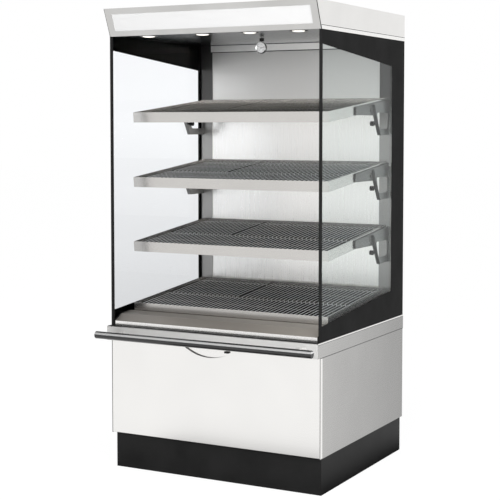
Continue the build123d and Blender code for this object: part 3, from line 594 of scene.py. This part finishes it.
# %% Bumper tube
tube_low, tube_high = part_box("bumper_rail")
tube_middle = (tube_low + tube_high) / 2
tube_radius = (tube_high.y - tube_low.y) / 2
tube_half = (tube_high.x - tube_low.x) / 2
end_line = [(0, tube_half - 0.0006), (tube_radius * 0.55, tube_half - 0.0004), (tube_radius * 0.8, tube_half)]
end_line += [(tube_radius * 0.93, tube_half - 0.0007), (tube_radius, tube_half - 0.0026)]
end_line += [(tube_radius * 0.985, tube_half - 0.0032), (tube_radius, tube_half - 0.004)]
tube_line = [(r, -h) for r, h in end_line] + [(r, h) for r, h in reversed(end_line)]
# Painted highlight and reflection: the tube is dark at the bottom and the top, with a bright band across its
# upper part.
PAINTED_HIGHLIGHT_BAND = [(0.0, 0.05), (0.6, 0.05), (0.66, 1.0), (0.84, 1.0), (0.88, 0.1), (1.0, 0.1)]
paint_light_fade(tube_chrome, "Z", [(tube_low.z + share * (tube_high.z - tube_low.z), tone) for share, tone in PAINTED_HIGHLIGHT_BAND])
along = Matrix.Translation(tube_middle) @ Matrix.Rotation(math.pi / 2, 4, "Y")
tube_mesh = soften(turned(tube_line, along, tube_chrome, sides=64), 40)
to_piece("bumper_tube", tube_mesh, "cabinet", ["bumper_rail"])
print("tube is", round(2000 * tube_radius), "mm thick and", round(2000 * tube_half), "mm long")

# %% [markdown]
# ## Painted shade and light in thin strips
# A black strip lies on the ledge of the deck. Black strips paint the shadow lines below the deck and above
# the lip of the ceiling, and the shadow in the corner where the sign's frame meets the hood. Bright strips
# paint highlights on the folded front edges of the base sides and on the top edges of the deck, with a
# painted shadow line below the deck's. All are thin boxes, too thin for the frame to show.

# %% Straight strips of painted shade and light


def trim(name, material, boxes, body="cabinet"):
    return to_piece(name, box_mesh(boxes, material), body)


deck_low, deck_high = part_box("deck")
side_low, side_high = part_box("base_side_right")
lip_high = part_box("canopy_ceiling")[1]
hood_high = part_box("canopy_hood")[1]
panel_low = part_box("door_panel")[0]
ledge_z = deck_high.z
trim("deck_ledge_strip", plastic_black, [
    ((deck_low.x + 0.003, deck_low.y + 0.0035, ledge_z),
     (deck_high.x - 0.003, panel_low.y - 0.0005, ledge_z + 0.0008)),
])
# Black boxes paint shadow lines, and bright boxes paint highlights on edges.
shadow_boxes = []
for side in (-1, 1):
    low_x, high_x = sided(side, deck_high.x - 0.0004, side_high.x - 0.0002)
    shadow_boxes.append(((low_x, side_low.y, deck_low.z - 0.0026), (high_x, side_high.y, deck_low.z)))
    low_x, high_x = sided(side, lip_high.x - 0.0002, hood_high.x - 0.0002)
    shadow_boxes.append(((low_x, side_low.y, lip_high.z), (high_x, side_high.y, lip_high.z + 0.0022)))
highlight_boxes = []
edge_near, edge_far = deck_low.y + 0.004, deck_high.y - 0.002
for side in (-1, 1):
    low_x, high_x = sided(side, deck_high.x + 0.0004, deck_high.x - 0.0004)
    highlight_boxes.append(((low_x, edge_near, ledge_z - 0.0055), (high_x, edge_far, ledge_z - 0.0005)))
    shadow_boxes.append(((low_x, edge_near, ledge_z - 0.0072), (high_x, edge_far, ledge_z - 0.0057)))
    low_x, high_x = sided(side, side_high.x + 0.0003, side_high.x - 0.0004)
    highlight_boxes.append(((low_x, side_low.y + 0.0016, panel_low.z),
                       (high_x, side_low.y + 0.018, side_high.z - 0.0625)))
trim("shadow_seams", plastic_black, shadow_boxes)
trim("painted_edge_highlights", door_steel, highlight_boxes)
valance_low, valance_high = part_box("valance")
trim("valance_shadow", plastic_black, [
    ((valance_low.x, valance_low.y + 0.0002, valance_low.z - 0.0035),
     (valance_high.x, valance_low.y + 0.003, valance_low.z)),
])
trim("valance_seam", plastic_black, [
    ((valance_low.x, valance_low.y - 0.0004, valance_high.z - 0.0022),
     (valance_high.x, valance_low.y, valance_high.z)),
])
print("seams:", len(shadow_boxes), "shadow lines and", len(highlight_boxes), "folded edges")

# %% [markdown]
# The sign leans forward, so the painted shadow in its corners leans with it. Its line is taken from the box
# of the sign's frame: the bottom of the frame is at the back of that box and the top at the front of it.

# %% Leaning corner shadows and the shadow at the end of the finger pull
sign_low, sign_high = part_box("sign_frame")
# Black strips in the sign's corners paint the shadow where its frame meets the hood.
corner = bmesh.new()
for side in (-1, 1):
    low_x, high_x = sided(side, hood_high.x - 0.0002, sign_high.x + 0.0001)
    rods = slab(corner, (low_x, -0.0012, sign_low.z), (high_x, 0.0, sign_high.z))
    for v in rods:
        share = (v.co.z - sign_low.z) / (sign_high.z - sign_low.z)
        v.co.y += (sign_high.y - 0.0002) * (1 - share) + (sign_low.y + 0.0020) * share
corner_shadow_mesh = finish_mesh(corner, [plastic_black], smooth=False)
to_piece("sign_corner_shadow", corner_shadow_mesh, "cabinet")
# A black block paints the deep shadow at the right end of the finger pull.
pull_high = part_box("door_pull_cup")[1]
pull_shadow_x = pull_high.x - 0.043
trim("pull_end_shadow", plastic_black, [
    ((pull_shadow_x - 0.010, panel_low.y + 0.0008, pull_high.z - 0.0125),
     (pull_shadow_x + 0.010, pull_high.y - 0.0016, pull_high.z - 0.005)),
], body="door")
print("pull_shadow is 20 mm wide")

# %% [markdown]
# ## Shelf wires
# Each shelf holds loose racks of thick wire, so that warm air can rise between the packs of food.
# The front rack reaches from the lip to the middle, and the two behind it reach to the rear edge.
# Every wire runs front to back, with its ends turned down over a cross wire. Hundreds of equal wires
# are a job for Geometry Nodes: one wire is drawn, set out in a row, and given its real thickness.

# %% A tree that sets out a row of wires


def named_inputs(tree, sockets):
    tree.interface.new_socket("Geometry", in_out="OUTPUT", socket_type="NodeSocketGeometry")
    for name, kind in sockets:
        tree.interface.new_socket(name, in_out="INPUT", socket_type="NodeSocket" + kind)


def end_tree(tree, geometry, finish):
    """Close a tree: turn its copies into real mesh, give them their finish and hand them out."""
    real = add_node(tree, "GeometryNodeRealizeInstances", in_Geometry=geometry)
    dressed = add_node(tree, "GeometryNodeSetMaterial", in_Geometry=real.outputs["Geometry"],
                       in_Material=finish)
    out = tree.nodes.new("NodeGroupOutput")
    tree.links.new(dressed.outputs["Geometry"], out.inputs["Geometry"])
    return tree


def input_names(tree):
    return [item.name for item in tree.interface.items_tree if item.in_out == "INPUT"]


def wire_row_tree():
    tree = bpy.data.node_groups.new("wire_row", "GeometryNodeTree")
    named_inputs(tree, [
        ("Count", "Int"), ("Step", "Vector"), ("Start", "Vector"), ("Reach", "Vector"), ("Drop", "Vector"),
        ("Bend", "Float"), ("Radius", "Float"), ("Sides", "Int"), ("Turn", "Rotation"), ("Place", "Vector"),
        ("Finish", "Material"),
    ])
    given = tree.nodes.new("NodeGroupInput").outputs
    row = add_node(tree, "GeometryNodeMeshLine", in_Count=given["Count"], in_Start_Location=given["Start"],
                   in_Offset=given["Step"])
    corners = add_node(tree, "GeometryNodeMeshLine", in_Count=4)
    far_low = add_node(tree, "ShaderNodeVectorMath", operation="ADD", in_0=given["Reach"], in_1=given["Drop"])
    choose = add_node(tree, "GeometryNodeIndexSwitch", data_type="VECTOR")
    while len(choose.index_switch_items) < 4:
        choose.index_switch_items.new()
    tree.links.new(add_node(tree, "GeometryNodeInputIndex").outputs["Index"], choose.inputs["Index"])
    tree.links.new(given["Drop"], choose.inputs["0"])
    tree.links.new(given["Reach"], choose.inputs["2"])
    tree.links.new(far_low.outputs["Vector"], choose.inputs["3"])
    shaped = add_node(tree, "GeometryNodeSetPosition", in_Geometry=corners.outputs["Mesh"],
                      in_Position=choose.outputs["Output"])
    line = add_node(tree, "GeometryNodeMeshToCurve", in_Mesh=shaped.outputs["Geometry"])
    bent = add_node(tree, "GeometryNodeFilletCurve", mode="POLY", in_Curve=line.outputs["Curve"],
                    in_Radius=given["Bend"], in_Count=3)
    section = add_node(tree, "GeometryNodeCurvePrimitiveCircle", in_Resolution=given["Sides"],
                       in_Radius=given["Radius"])
    wire = add_node(tree, "GeometryNodeCurveToMesh", in_Curve=bent.outputs["Curve"],
                    in_Profile_Curve=section.outputs["Curve"], in_Fill_Caps=True)
    rounded = add_node(tree, "GeometryNodeSetShadeSmooth", in_Geometry=wire.outputs["Mesh"])
    copies = add_node(tree, "GeometryNodeInstanceOnPoints", in_Points=row.outputs["Mesh"],
                      in_Instance=rounded.outputs["Geometry"])
    placed = add_node(tree, "GeometryNodeTransform", in_Geometry=copies.outputs["Instances"],
                      in_Translation=given["Place"], in_Rotation=given["Turn"])
    return end_tree(tree, placed.outputs["Geometry"], given["Finish"])


wire_row = wire_row_tree()
print("inputs:", input_names(wire_row))

# %% Helper that runs a tree and keeps its mesh


def take_mesh(blank):
    """The mesh that an object makes, as plain data; the object itself goes."""
    ready = blank.evaluated_get(bpy.context.evaluated_depsgraph_get())
    mesh = bpy.data.meshes.new_from_object(ready)
    bpy.data.objects.remove(blank)
    return mesh


def grow(tree, **inputs):
    """Run a Geometry Nodes tree with these inputs and return what it makes as a plain mesh."""
    blank = add_object("blank", bpy.data.meshes.new("blank"))
    modifier = blank.modifiers.new("nodes", "NODES")
    modifier.node_group = tree
    for socket in tree.interface.items_tree:
        if socket.in_out == "INPUT" and socket.name in inputs:
            modifier[socket.identifier] = inputs[socket.name]
    return take_mesh(blank)


def join_meshes(meshes):
    """Several meshes in one, with each one's finishes kept."""
    joined = bmesh.new()
    materials = []
    for mesh in meshes:
        first = len(joined.faces)
        joined.from_mesh(mesh)
        joined.faces.ensure_lookup_table()
        for face in joined.faces[first:]:
            material = mesh.materials[face.material_index]
            if material not in materials:
                materials.append(material)
            face.material_index = materials.index(material)
        bpy.data.meshes.remove(mesh)
    result = bpy.data.meshes.new("joined")
    joined.to_mesh(result)
    joined.free()
    for material in materials:
        result.materials.append(material)
    return result


print("a tree's result becomes a plain mesh")

# %% [markdown]
# The wires of a shelf are drawn on the level, measured from the front edge of its tray, and then
# turned up by the shelf's slope. The table gives each rack its body, slope, length from front to
# back, level of the front edge, and the place where its two back racks part.

# %% Racks
WIRE = 0.0009
WIRE_PITCH = 0.0208
RACK_GAP = 0.004
TRAYS = {
    "top": ("shelf_top", SHELF_SLOPE, 0.621, 1.5455, -0.165),
    "middle": ("shelf_middle", SHELF_SLOPE, 0.621, 1.2625, -0.165),
    "lower": ("shelf_lower", SHELF_SLOPE, 0.621, 0.9795, -0.150),
    "base": ("cabinet", BASE_SLOPE, 0.600, 0.7097, -0.105),
}
TRAY_FRONT_Y = -0.255
RACK_HALF = 0.464
RACK_LEVEL = -0.014
WIRE_LEG = 0.009


def rack_wires(length, slope, place, parting, finish):
    turn = (math.radians(slope), 0.0, 0.0)
    common = {"Turn": turn, "Place": place, "Sides": 8}
    parts = []
    middle = length / 2
    spans = [(-RACK_HALF, RACK_HALF, 0.006, middle - RACK_GAP)]
    spans += [(-RACK_HALF, parting - RACK_GAP, middle + RACK_GAP, length - 0.006)]
    spans += [(parting + RACK_GAP, RACK_HALF, middle + RACK_GAP, length - 0.006)]
    for left, right, near, far in spans:
        count = int((right - left - 0.008) / WIRE_PITCH) + 1
        start = (left + right - (count - 1) * WIRE_PITCH) / 2
        parts.append(grow(wire_row, **common, Finish=finish, Count=count, Step=(WIRE_PITCH, 0, 0),
                          Start=(start, near, RACK_LEVEL),
                          Reach=(0, far - near, 0), Drop=(0, 0, -WIRE_LEG), Bend=0.004, Radius=WIRE))
        cross_y = [near + 0.009, (near + far) / 2, far - 0.009]
        for y in cross_y:
            parts.append(grow(wire_row, **common, Finish=bracket_steel, Count=1, Step=(0, 0, 0),
                              Start=(left, y, RACK_LEVEL - 2 * WIRE),
                              Reach=(right - left, 0, 0), Drop=(0, 0, 0), Bend=0.0, Radius=WIRE))
    return join_meshes(parts)


for level, (body, slope, length, front_z, parting) in TRAYS.items():
    finish = dull_wire if level == "top" else bright_wire
    wires = rack_wires(length, slope, (0, TRAY_FRONT_Y, front_z), parting, finish)
    node = "base_rack" if level == "base" else "shelf_rack_" + level
    to_piece("rack_wires_" + level, wires, body, [node])
    print(level, "rack:", len(wires.polygons), "faces")

# %% [markdown]
# ## Lamps in the canopy
# Four round downlights sit in the ceiling. Each has a satin ring that rolls over the cut edge of
# the sheet, and a ribbed lens behind which a warm lamp glows. Both are turned on the lathe.

# %% Downlights
for number in range(1, 5):
    low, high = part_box(f"downlight_{number}")
    middle = (low + high) / 2
    radius = (high.x - low.x) / 2
    ceiling_z = low.z + 0.007
    light = bmesh.new()
    ring = [(radius * 0.99, 0.0), (radius, -0.001), (radius * 0.975, -0.0024), (radius * 0.92, -0.0032)]
    ring += [(radius * 0.84, -0.0034), (radius * 0.74, -0.0028), (radius * 0.7, -0.0018)]
    lens = [(radius * 0.64, -0.004), (radius * 0.5, -0.0054), (radius * 0.25, -0.0063), (0, -0.0066)]
    lathe(light, ring + lens, Matrix.Translation((middle.x, middle.y, ceiling_z)), ROUND, [0] * 6 + [1] * 4)
    back = [(radius * 0.99, 0.0), (radius * 0.82, 0.0005), (radius * 0.82, 0.024), (0, 0.024)]
    lathe(light, back, Matrix.Translation((middle.x, middle.y, ceiling_z)), ROUND)
    mesh = soften(finish_mesh(light, [bracket_steel, lamp_lens]), 50)
    to_piece(f"lamp_{number}", mesh, "cabinet", [f"downlight_{number}"])
print("lamps: 4, each", round(2000 * radius), "mm wide")

# %% [markdown]
# ## The dial thermometer
# A small round thermometer hangs below the ceiling, so that the air in the case can be read at a
# glance. Its steel cup, white card, pointer and lens are separate pieces, because the pointer turns
# on its own pivot. The marks on the card are set out round the pivot by Geometry Nodes.

# %% A tree that sets marks round a centre


def mark_ring_tree():
    tree = bpy.data.node_groups.new("mark_ring", "GeometryNodeTree")
    named_inputs(tree, [
        ("Count", "Int"), ("First", "Float"), ("Step", "Float"), ("Radius", "Float"), ("Mark", "Vector"),
        ("Place", "Vector"), ("Finish", "Material"),
    ])
    given = tree.nodes.new("NodeGroupInput").outputs
    index = add_node(tree, "GeometryNodeInputIndex").outputs["Index"]
    angle = work_out(tree, "MULTIPLY_ADD", index, given["Step"], given["First"])
    points = add_node(tree, "GeometryNodeMeshLine", in_Count=given["Count"])
    across, up = work_out(tree, "COSINE", angle), work_out(tree, "SINE", angle)
    spot = add_node(tree, "ShaderNodeCombineXYZ", in_X=across, in_Z=up)
    spot = add_node(tree, "ShaderNodeVectorMath", operation="SCALE", in_0=spot.outputs["Vector"],
                    in_Scale=given["Radius"])
    ring = add_node(tree, "GeometryNodeSetPosition", in_Geometry=points.outputs["Mesh"],
                    in_Position=spot.outputs["Vector"])
    bar = add_node(tree, "GeometryNodeMeshCube", in_Size=given["Mark"])
    turn = add_node(tree, "ShaderNodeCombineXYZ", in_Y=work_out(tree, "MULTIPLY", angle, -1.0))
    copies = add_node(tree, "GeometryNodeInstanceOnPoints", in_Points=ring.outputs["Geometry"],
                      in_Instance=bar.outputs["Mesh"], in_Rotation=turn.outputs["Vector"])
    placed = add_node(tree, "GeometryNodeTransform", in_Geometry=copies.outputs["Instances"],
                      in_Translation=given["Place"])
    return end_tree(tree, placed.outputs["Geometry"], given["Finish"])


mark_ring = mark_ring_tree()
print("inputs:", input_names(mark_ring))

# %% Printed numbers


def printed(text, size, place, material, depth=0.0001):
    """Flat lettering as a mesh, facing the front, centred on a place."""
    curve = bpy.data.curves.new("print", "FONT")
    curve.body = text
    curve.size = size
    curve.align_x = "CENTER"
    curve.align_y = "CENTER"
    curve.extrude = depth
    curve.resolution_u = 3
    mesh = take_mesh(add_object("print", curve))
    mesh.transform(facing_front(*place))
    mesh.materials.clear()
    mesh.materials.append(material)
    return mesh


print("numbers are printed as thin meshes")

# %% Thermometer cup, card and lens
cup_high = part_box("thermometer_cup")[1]
lens_low, lens_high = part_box("thermometer_lens")
dial_low, dial_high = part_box("thermometer_dial")
dial_middle = (dial_low + dial_high) / 2
cup_radius = (lens_high.x - lens_low.x) / 2 + 0.0015
front_y = lens_low.y - 0.0005
facing = facing_front(dial_middle.x, front_y, dial_middle.z)
cup = bmesh.new()
rim = [(cup_radius - 0.0035, -0.003), (cup_radius - 0.0024, -0.0004), (cup_radius - 0.001, 0.0)]
rim += [(cup_radius, -0.0012), (cup_radius, -0.0108), (cup_radius - 0.0015, -0.012), (0, -0.012)]
lathe(cup, rim, facing, ROUND)
inner = [(cup_radius - 0.0035, -0.003), (cup_radius - 0.0018, -0.0035)]
inner += [(cup_radius - 0.0018, -0.0105), (0, -0.0105)]
lathe(cup, inner, facing, ROUND)
cup_mesh = soften(finish_mesh(cup, [chrome]), 35)
strap_x, strap_y = dial_middle.x, front_y + 0.0118
foot_z = cup_high.z - 0.0015
strap_mesh = box_mesh([
    ((strap_x - 0.003, strap_y - 0.0012, dial_middle.z), (strap_x + 0.003, strap_y, foot_z)),
    ((strap_x - 0.006, strap_y - 0.0095, foot_z), (strap_x + 0.006, strap_y + 0.0095, cup_high.z)),
], bracket_steel)
clip_z = dial_middle.z + cup_radius + 0.004
clip_mesh = box_mesh([
    ((strap_x - 0.01, strap_y - 0.003, clip_z), (strap_x + 0.01, strap_y + 0.0006, clip_z + 0.014)),
], plastic_black)
ring = [(cup_radius - 0.0008, -0.0118), (cup_radius, -0.0118), (cup_radius + 0.0004, -0.0035)]
ring += [(cup_radius - 0.0002, -0.0016), (cup_radius - 0.0008, -0.0035)]
thermometer_parts = [cup_mesh, strap_mesh, clip_mesh, turned(ring, facing, plastic_black)]
to_piece("thermometer_case", join_meshes(thermometer_parts), "cabinet", ["thermometer_cup"])
print("dial is", round(2000 * cup_radius), "mm across")

# %% Card with its marks
card_y = dial_low.y
card_facing = facing_front(dial_middle.x, card_y, dial_middle.z)
card_line = [(0, -0.0025), (0.0218, -0.0025), (0.0218, 0), (0, 0)]
card_parts = [turned(card_line, card_facing, dial_white, smooth=False)]
centre = (dial_middle.x, card_y - 0.0001, dial_middle.z)
for count, step, length, width in ((28, 10.0, 0.0016, 0.0002), (10, 30.0, 0.0028, 0.0005)):
    card_parts.append(grow(mark_ring, Count=count, First=math.radians(-45), Step=math.radians(step),
                           Radius=0.0196, Mark=(length, 0.0001, width), Place=centre, Finish=plastic_black))
for number in range(5):
    angle = math.radians(225 - number * 67.5)
    spot = (centre[0] + 0.0138 * math.cos(angle), card_y, centre[2] + 0.0138 * math.sin(angle))
    card_parts.append(printed(str(number * 50), 0.0052, spot, plastic_black))
to_piece("thermometer_card", join_meshes(card_parts), "cabinet", ["thermometer_dial"])
lens_facing = facing_front(dial_middle.x, lens_low.y, dial_middle.z)
lens_line = [(0, -0.0015), (0.0224, -0.0015), (0.0224, 0), (0, 0)]
lens_mesh = turned(lens_line, lens_facing, lens_glass, smooth=False)
to_piece("thermometer_glass", lens_mesh, "cabinet", ["thermometer_lens"])
print("marks on the card: 38")

# %% Pointer
needle_low, needle_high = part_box("thermometer_needle")
dress("thermometer_needle", plastic_black)
print("pointer reaches", round(1000 * (needle_high.x - needle_low.x)), "mm")

# %% [markdown]
# ## Controls behind the door
# Behind the drop-down door there are a rocker switch and a knob that sets the heat. The knob has a fluted rim
# for damp fingers, and the box has a printed scale of numbers round it.

# %% Knob
knob_low, knob_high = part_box("thermostat_knob")
box_low, box_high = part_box("control_box")
knob_x = (knob_low.x + knob_high.x) / 2
knob_z = 0.45
knob_face_y = box_low.y - 0.0008
knob = bmesh.new()
knob_line = [(0.0, 0.0), (0.0205, 0.0), (0.021, 0.0008), (0.0205, 0.0028), (0.0155, 0.005), (0.0138, 0.008)]
knob_line += [(0.0132, 0.0195), (0.0122, 0.0209), (0.0, 0.0212)]
knob_facing = facing_front(knob_x, knob_face_y, knob_z)
lathe(knob, knob_line, knob_facing, 72)
for v in knob.verts:
    local = knob_facing.inverted() @ v.co
    radius = math.hypot(local.x, local.y)
    if 0.009 < local.z < 0.0212 and radius > 0.005:
        wave = 1 - 0.05 * (0.5 + 0.5 * math.cos(18 * math.atan2(local.y, local.x)))
        v.co = knob_facing @ Vector((local.x * wave, local.y * wave, local.z))
knob_mesh = soften(finish_mesh(knob, [plastic_black]), 40)
pointer_mesh = box_mesh([
    ((knob_x - 0.0011, knob_face_y - 0.0216, knob_z + 0.002),
     (knob_x + 0.0011, knob_face_y - 0.0205, knob_z + 0.0125)),
], dial_white)
to_piece("heat_knob", join_meshes([knob_mesh, pointer_mesh]), "knob", ["thermostat_knob"])
print("knob is", round(1000 * 0.042), "mm across")

# %% Printed scale and switch
scale_parts = [grow(mark_ring, Count=28, First=math.radians(-180), Step=math.radians(10), Radius=0.0265,
                    Mark=(0.003, 0.0002, 0.0006), Place=(knob_x, box_low.y - 0.0001, knob_z),
                    Finish=plastic_black)]
for number in range(10):
    angle = math.radians(90 - number * 30)
    spot = (knob_x + 0.033 * math.cos(angle), box_low.y, knob_z + 0.033 * math.sin(angle))
    scale_parts.append(printed(str(number * 10), 0.0062, spot, plastic_black))
to_piece("heat_scale", join_meshes(scale_parts), "cabinet")
dress("power_switch", plastic_black)
dress("cable_gland", plastic_black)
print("scale numbers: 0 to 90")

# %% [markdown]
# ## Screws
# The covers at the back and the control box are held by screws with domed heads and a cross recess. One head
# has few faces, since it is repeated so often: a tapered disc, with two thin bars cut out of it.

# %% A tree that sets out screws in a row


def screw_row_tree():
    tree = bpy.data.node_groups.new("screw_row", "GeometryNodeTree")
    named_inputs(tree, [
        ("Count", "Int"), ("Start", "Vector"), ("Step", "Vector"), ("Radius", "Float"), ("Height", "Float"),
        ("Facing", "Rotation"), ("Finish", "Material"),
    ])
    given = tree.nodes.new("NodeGroupInput").outputs
    top, long, thin = [work_out(tree, "MULTIPLY", given["Radius"], share) for share in (0.72, 1.1, 0.24)]
    head = add_node(tree, "GeometryNodeMeshCone", in_Vertices=14, in_Radius_Top=top,
                    in_Radius_Bottom=given["Radius"], in_Depth=given["Height"])
    cuts = []
    for x, y in ((long, thin), (thin, long)):
        size = add_node(tree, "ShaderNodeCombineXYZ", in_X=x, in_Y=y, in_Z=given["Height"])
        bar = add_node(tree, "GeometryNodeMeshCube", in_Size=size.outputs["Vector"])
        lift = add_node(tree, "ShaderNodeCombineXYZ", in_Z=given["Height"])
        bar = add_node(tree, "GeometryNodeTransform", in_Geometry=bar.outputs["Mesh"],
                       in_Translation=lift.outputs["Vector"])
        cuts.append(bar)
    cut = add_node(tree, "GeometryNodeMeshBoolean", operation="DIFFERENCE")
    tree.links.new(head.outputs["Mesh"], cut.inputs["Mesh 1"])
    for bar in cuts:
        tree.links.new(bar.outputs["Geometry"], cut.inputs["Mesh 2"])
    row = add_node(tree, "GeometryNodeMeshLine", in_Count=given["Count"], in_Start_Location=given["Start"],
                   in_Offset=given["Step"])
    copies = add_node(tree, "GeometryNodeInstanceOnPoints", in_Points=row.outputs["Mesh"],
                      in_Instance=cut.outputs["Mesh"], in_Rotation=given["Facing"])
    return end_tree(tree, copies.outputs["Instances"], given["Finish"])


screw_row = screw_row_tree()
print("inputs:", input_names(screw_row))

# %% Screws on the covers
FRONT = (math.pi / 2, 0.0, 0.0)
REAR = (-math.pi / 2, 0.0, 0.0)
UPPER_ROW = 0.53
casing_low, casing_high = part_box("rear_casing")
back_low, back_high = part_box("base_back")


def screws(first, last, count, radius, height, facing):
    step = [(b - a) / max(count - 1, 1) for a, b in zip(first, last)]
    return grow(screw_row, Count=count, Start=first, Step=step, Radius=radius, Height=height, Facing=facing,
                Finish=chrome)


screw_parts = []
rear_y = casing_high.y - 0.0003
for x in (casing_low.x + 0.025, 0.0, casing_high.x - 0.025):
    screw_parts.append(screws((x, rear_y, 0.66), (x, rear_y, 1.83), 6, 0.0045, 0.0012, REAR))
rear_y = back_high.y - 0.0002
for z in (back_low.z + 0.02, UPPER_ROW):
    first, last = (back_low.x + 0.03, rear_y, z), (back_high.x - 0.03, rear_y, z)
    screw_parts.append(screws(first, last, 5, 0.0045, 0.0018, REAR))
front_y = box_low.y - 0.0007
for z in (box_low.z + 0.02, UPPER_ROW):
    first, last = (box_low.x + 0.02, front_y, z), (box_high.x - 0.02, front_y, z)
    screw_parts.append(screws(first, last, 3, 0.0035, 0.0014, FRONT))
to_piece("cover_screws", join_meshes(screw_parts), "cabinet")
print("screws:", 18 + 10 + 6)

# %% [markdown]
# ## Floor, backdrop and light
# The case stands on a plain pale floor under soft studio light. A large lamp stands in front, right
# of the middle, and a weaker one further to the right. The background is white because its colour
# is white for the camera, not because more light falls on the case. Metal shows what is round it,
# so for mirrored rays alone the floor is dark beside the case and the room is darker overhead.

# %% Floor
CASE_HALF = (0.45, 0.40, 0)
SHADE_ENDS = (0.2, 0.7)
floor_mesh = bpy.data.meshes.new("floor")
floor_mesh.from_pydata([(-30, -30, 0), (30, -30, 0), (30, 30, 0), (-30, 30, 0)], [], [(0, 1, 2, 3)])
floor = add_object("floor", floor_mesh)
floor_finish = bpy.data.materials.new("floor_finish")
floor_finish.use_nodes = True
tree = floor_finish.node_tree
tree.nodes.clear()
matt = add_node(tree, "ShaderNodeBsdfDiffuse", in_Color=(0.85, 0.85, 0.85, 1))
place = add_node(tree, "ShaderNodeTexCoord")
offset = add_node(tree, "ShaderNodeVectorMath", operation="ABSOLUTE", in_0=place.outputs["Object"])
for operation, value in (("SUBTRACT", CASE_HALF), ("MAXIMUM", (0, 0, 0)), ("MULTIPLY", (3, 1, 1))):
    offset = add_node(tree, "ShaderNodeVectorMath", operation=operation, in_0=offset.outputs["Vector"],
                      in_1=value)
away = add_node(tree, "ShaderNodeVectorMath", operation="LENGTH", in_0=offset.outputs["Vector"])
near_case = two_tones(tree, away.outputs["Value"], (0.03, 0.03, 0.03), (1, 1, 1), *SHADE_ENDS)
mirrored = add_node(tree, "ShaderNodeEmission", in_Color=near_case, in_Strength=1.0)
paper = add_node(tree, "ShaderNodeEmission", in_Color=(1, 1, 1, 1), in_Strength=1.13)
path = add_node(tree, "ShaderNodeLightPath")
seen = work_out(tree, "MAXIMUM", path.outputs["Is Camera Ray"], path.outputs["Is Transmission Ray"])
mixed = add_node(tree, "ShaderNodeMixShader", in_0=work_out(tree, "MULTIPLY", seen, 0.8),
                 in_1=matt.outputs["BSDF"], in_2=paper.outputs["Emission"])
mixed = add_node(tree, "ShaderNodeMixShader", in_0=path.outputs["Is Glossy Ray"],
                 in_1=mixed.outputs["Shader"], in_2=mirrored.outputs["Emission"])
add_node(tree, "ShaderNodeOutputMaterial", in_Surface=mixed.outputs["Shader"])
floor_mesh.materials.append(floor_finish)
print("floor is 60 m wide, so its edge is far outside the picture")

# %% World
world = bpy.data.worlds.new("studio")
bpy.context.scene.world = world
world.use_nodes = True
tree = world.node_tree
tree.nodes.clear()
path = add_node(tree, "ShaderNodeLightPath")
place = add_node(tree, "ShaderNodeTexCoord")
height = add_node(tree, "ShaderNodeSeparateXYZ", in_Vector=place.outputs["Generated"])
behind = work_out(tree, "MULTIPLY_ADD", height.outputs["Y"], -0.12, height.outputs["Z"])
sky = two_tones(tree, behind, (1, 1, 1), (0.12, 0.12, 0.12), 0.05, 0.38)
room = add_node(tree, "ShaderNodeBackground", in_Color=(1, 1, 1, 1), in_Strength=0.55)
mirror_room = add_node(tree, "ShaderNodeBackground", in_Color=sky, in_Strength=1.0)
paper = add_node(tree, "ShaderNodeBackground", in_Color=(1, 1, 1, 1), in_Strength=1.0)
seen = work_out(tree, "MAXIMUM", path.outputs["Is Camera Ray"], path.outputs["Is Transmission Ray"])
shiny = add_node(tree, "ShaderNodeMixShader", in_0=path.outputs["Is Glossy Ray"],
                 in_1=room.outputs["Background"], in_2=mirror_room.outputs["Background"])
mixed = add_node(tree, "ShaderNodeMixShader", in_0=seen, in_1=shiny.outputs["Shader"],
                 in_2=paper.outputs["Background"])
add_node(tree, "ShaderNodeOutputWorld", in_Surface=mixed.outputs["Shader"])
print("world is white for the camera")

# %% Lamps


def softbox(name, place, aim, width, tall, power):
    data = bpy.data.lights.new(name, "AREA")
    data.shape = "RECTANGLE"
    data.size = width
    data.size_y = tall
    data.energy = power
    lamp = add_object(name, data)
    lamp.location = place
    lamp.rotation_euler = (Vector(aim) - Vector(place)).to_track_quat("-Z", "Y").to_euler()
    return lamp


key = softbox("key_softbox", (1.2, -5.2, 2.5), (0, 0, 1.0), 2.6, 2.6, 150)
fill = softbox("fill_softbox", (4.2, -2.4, 2.2), (0, 0, 1.0), 2.0, 2.6, 70)
print("softboxes:", key.name, fill.name)

# %% [markdown]
# ## Closing the scene
# The picture keeps its colours as they are written.

# %% Finish
bpy.context.scene.view_settings.view_transform = "Standard"
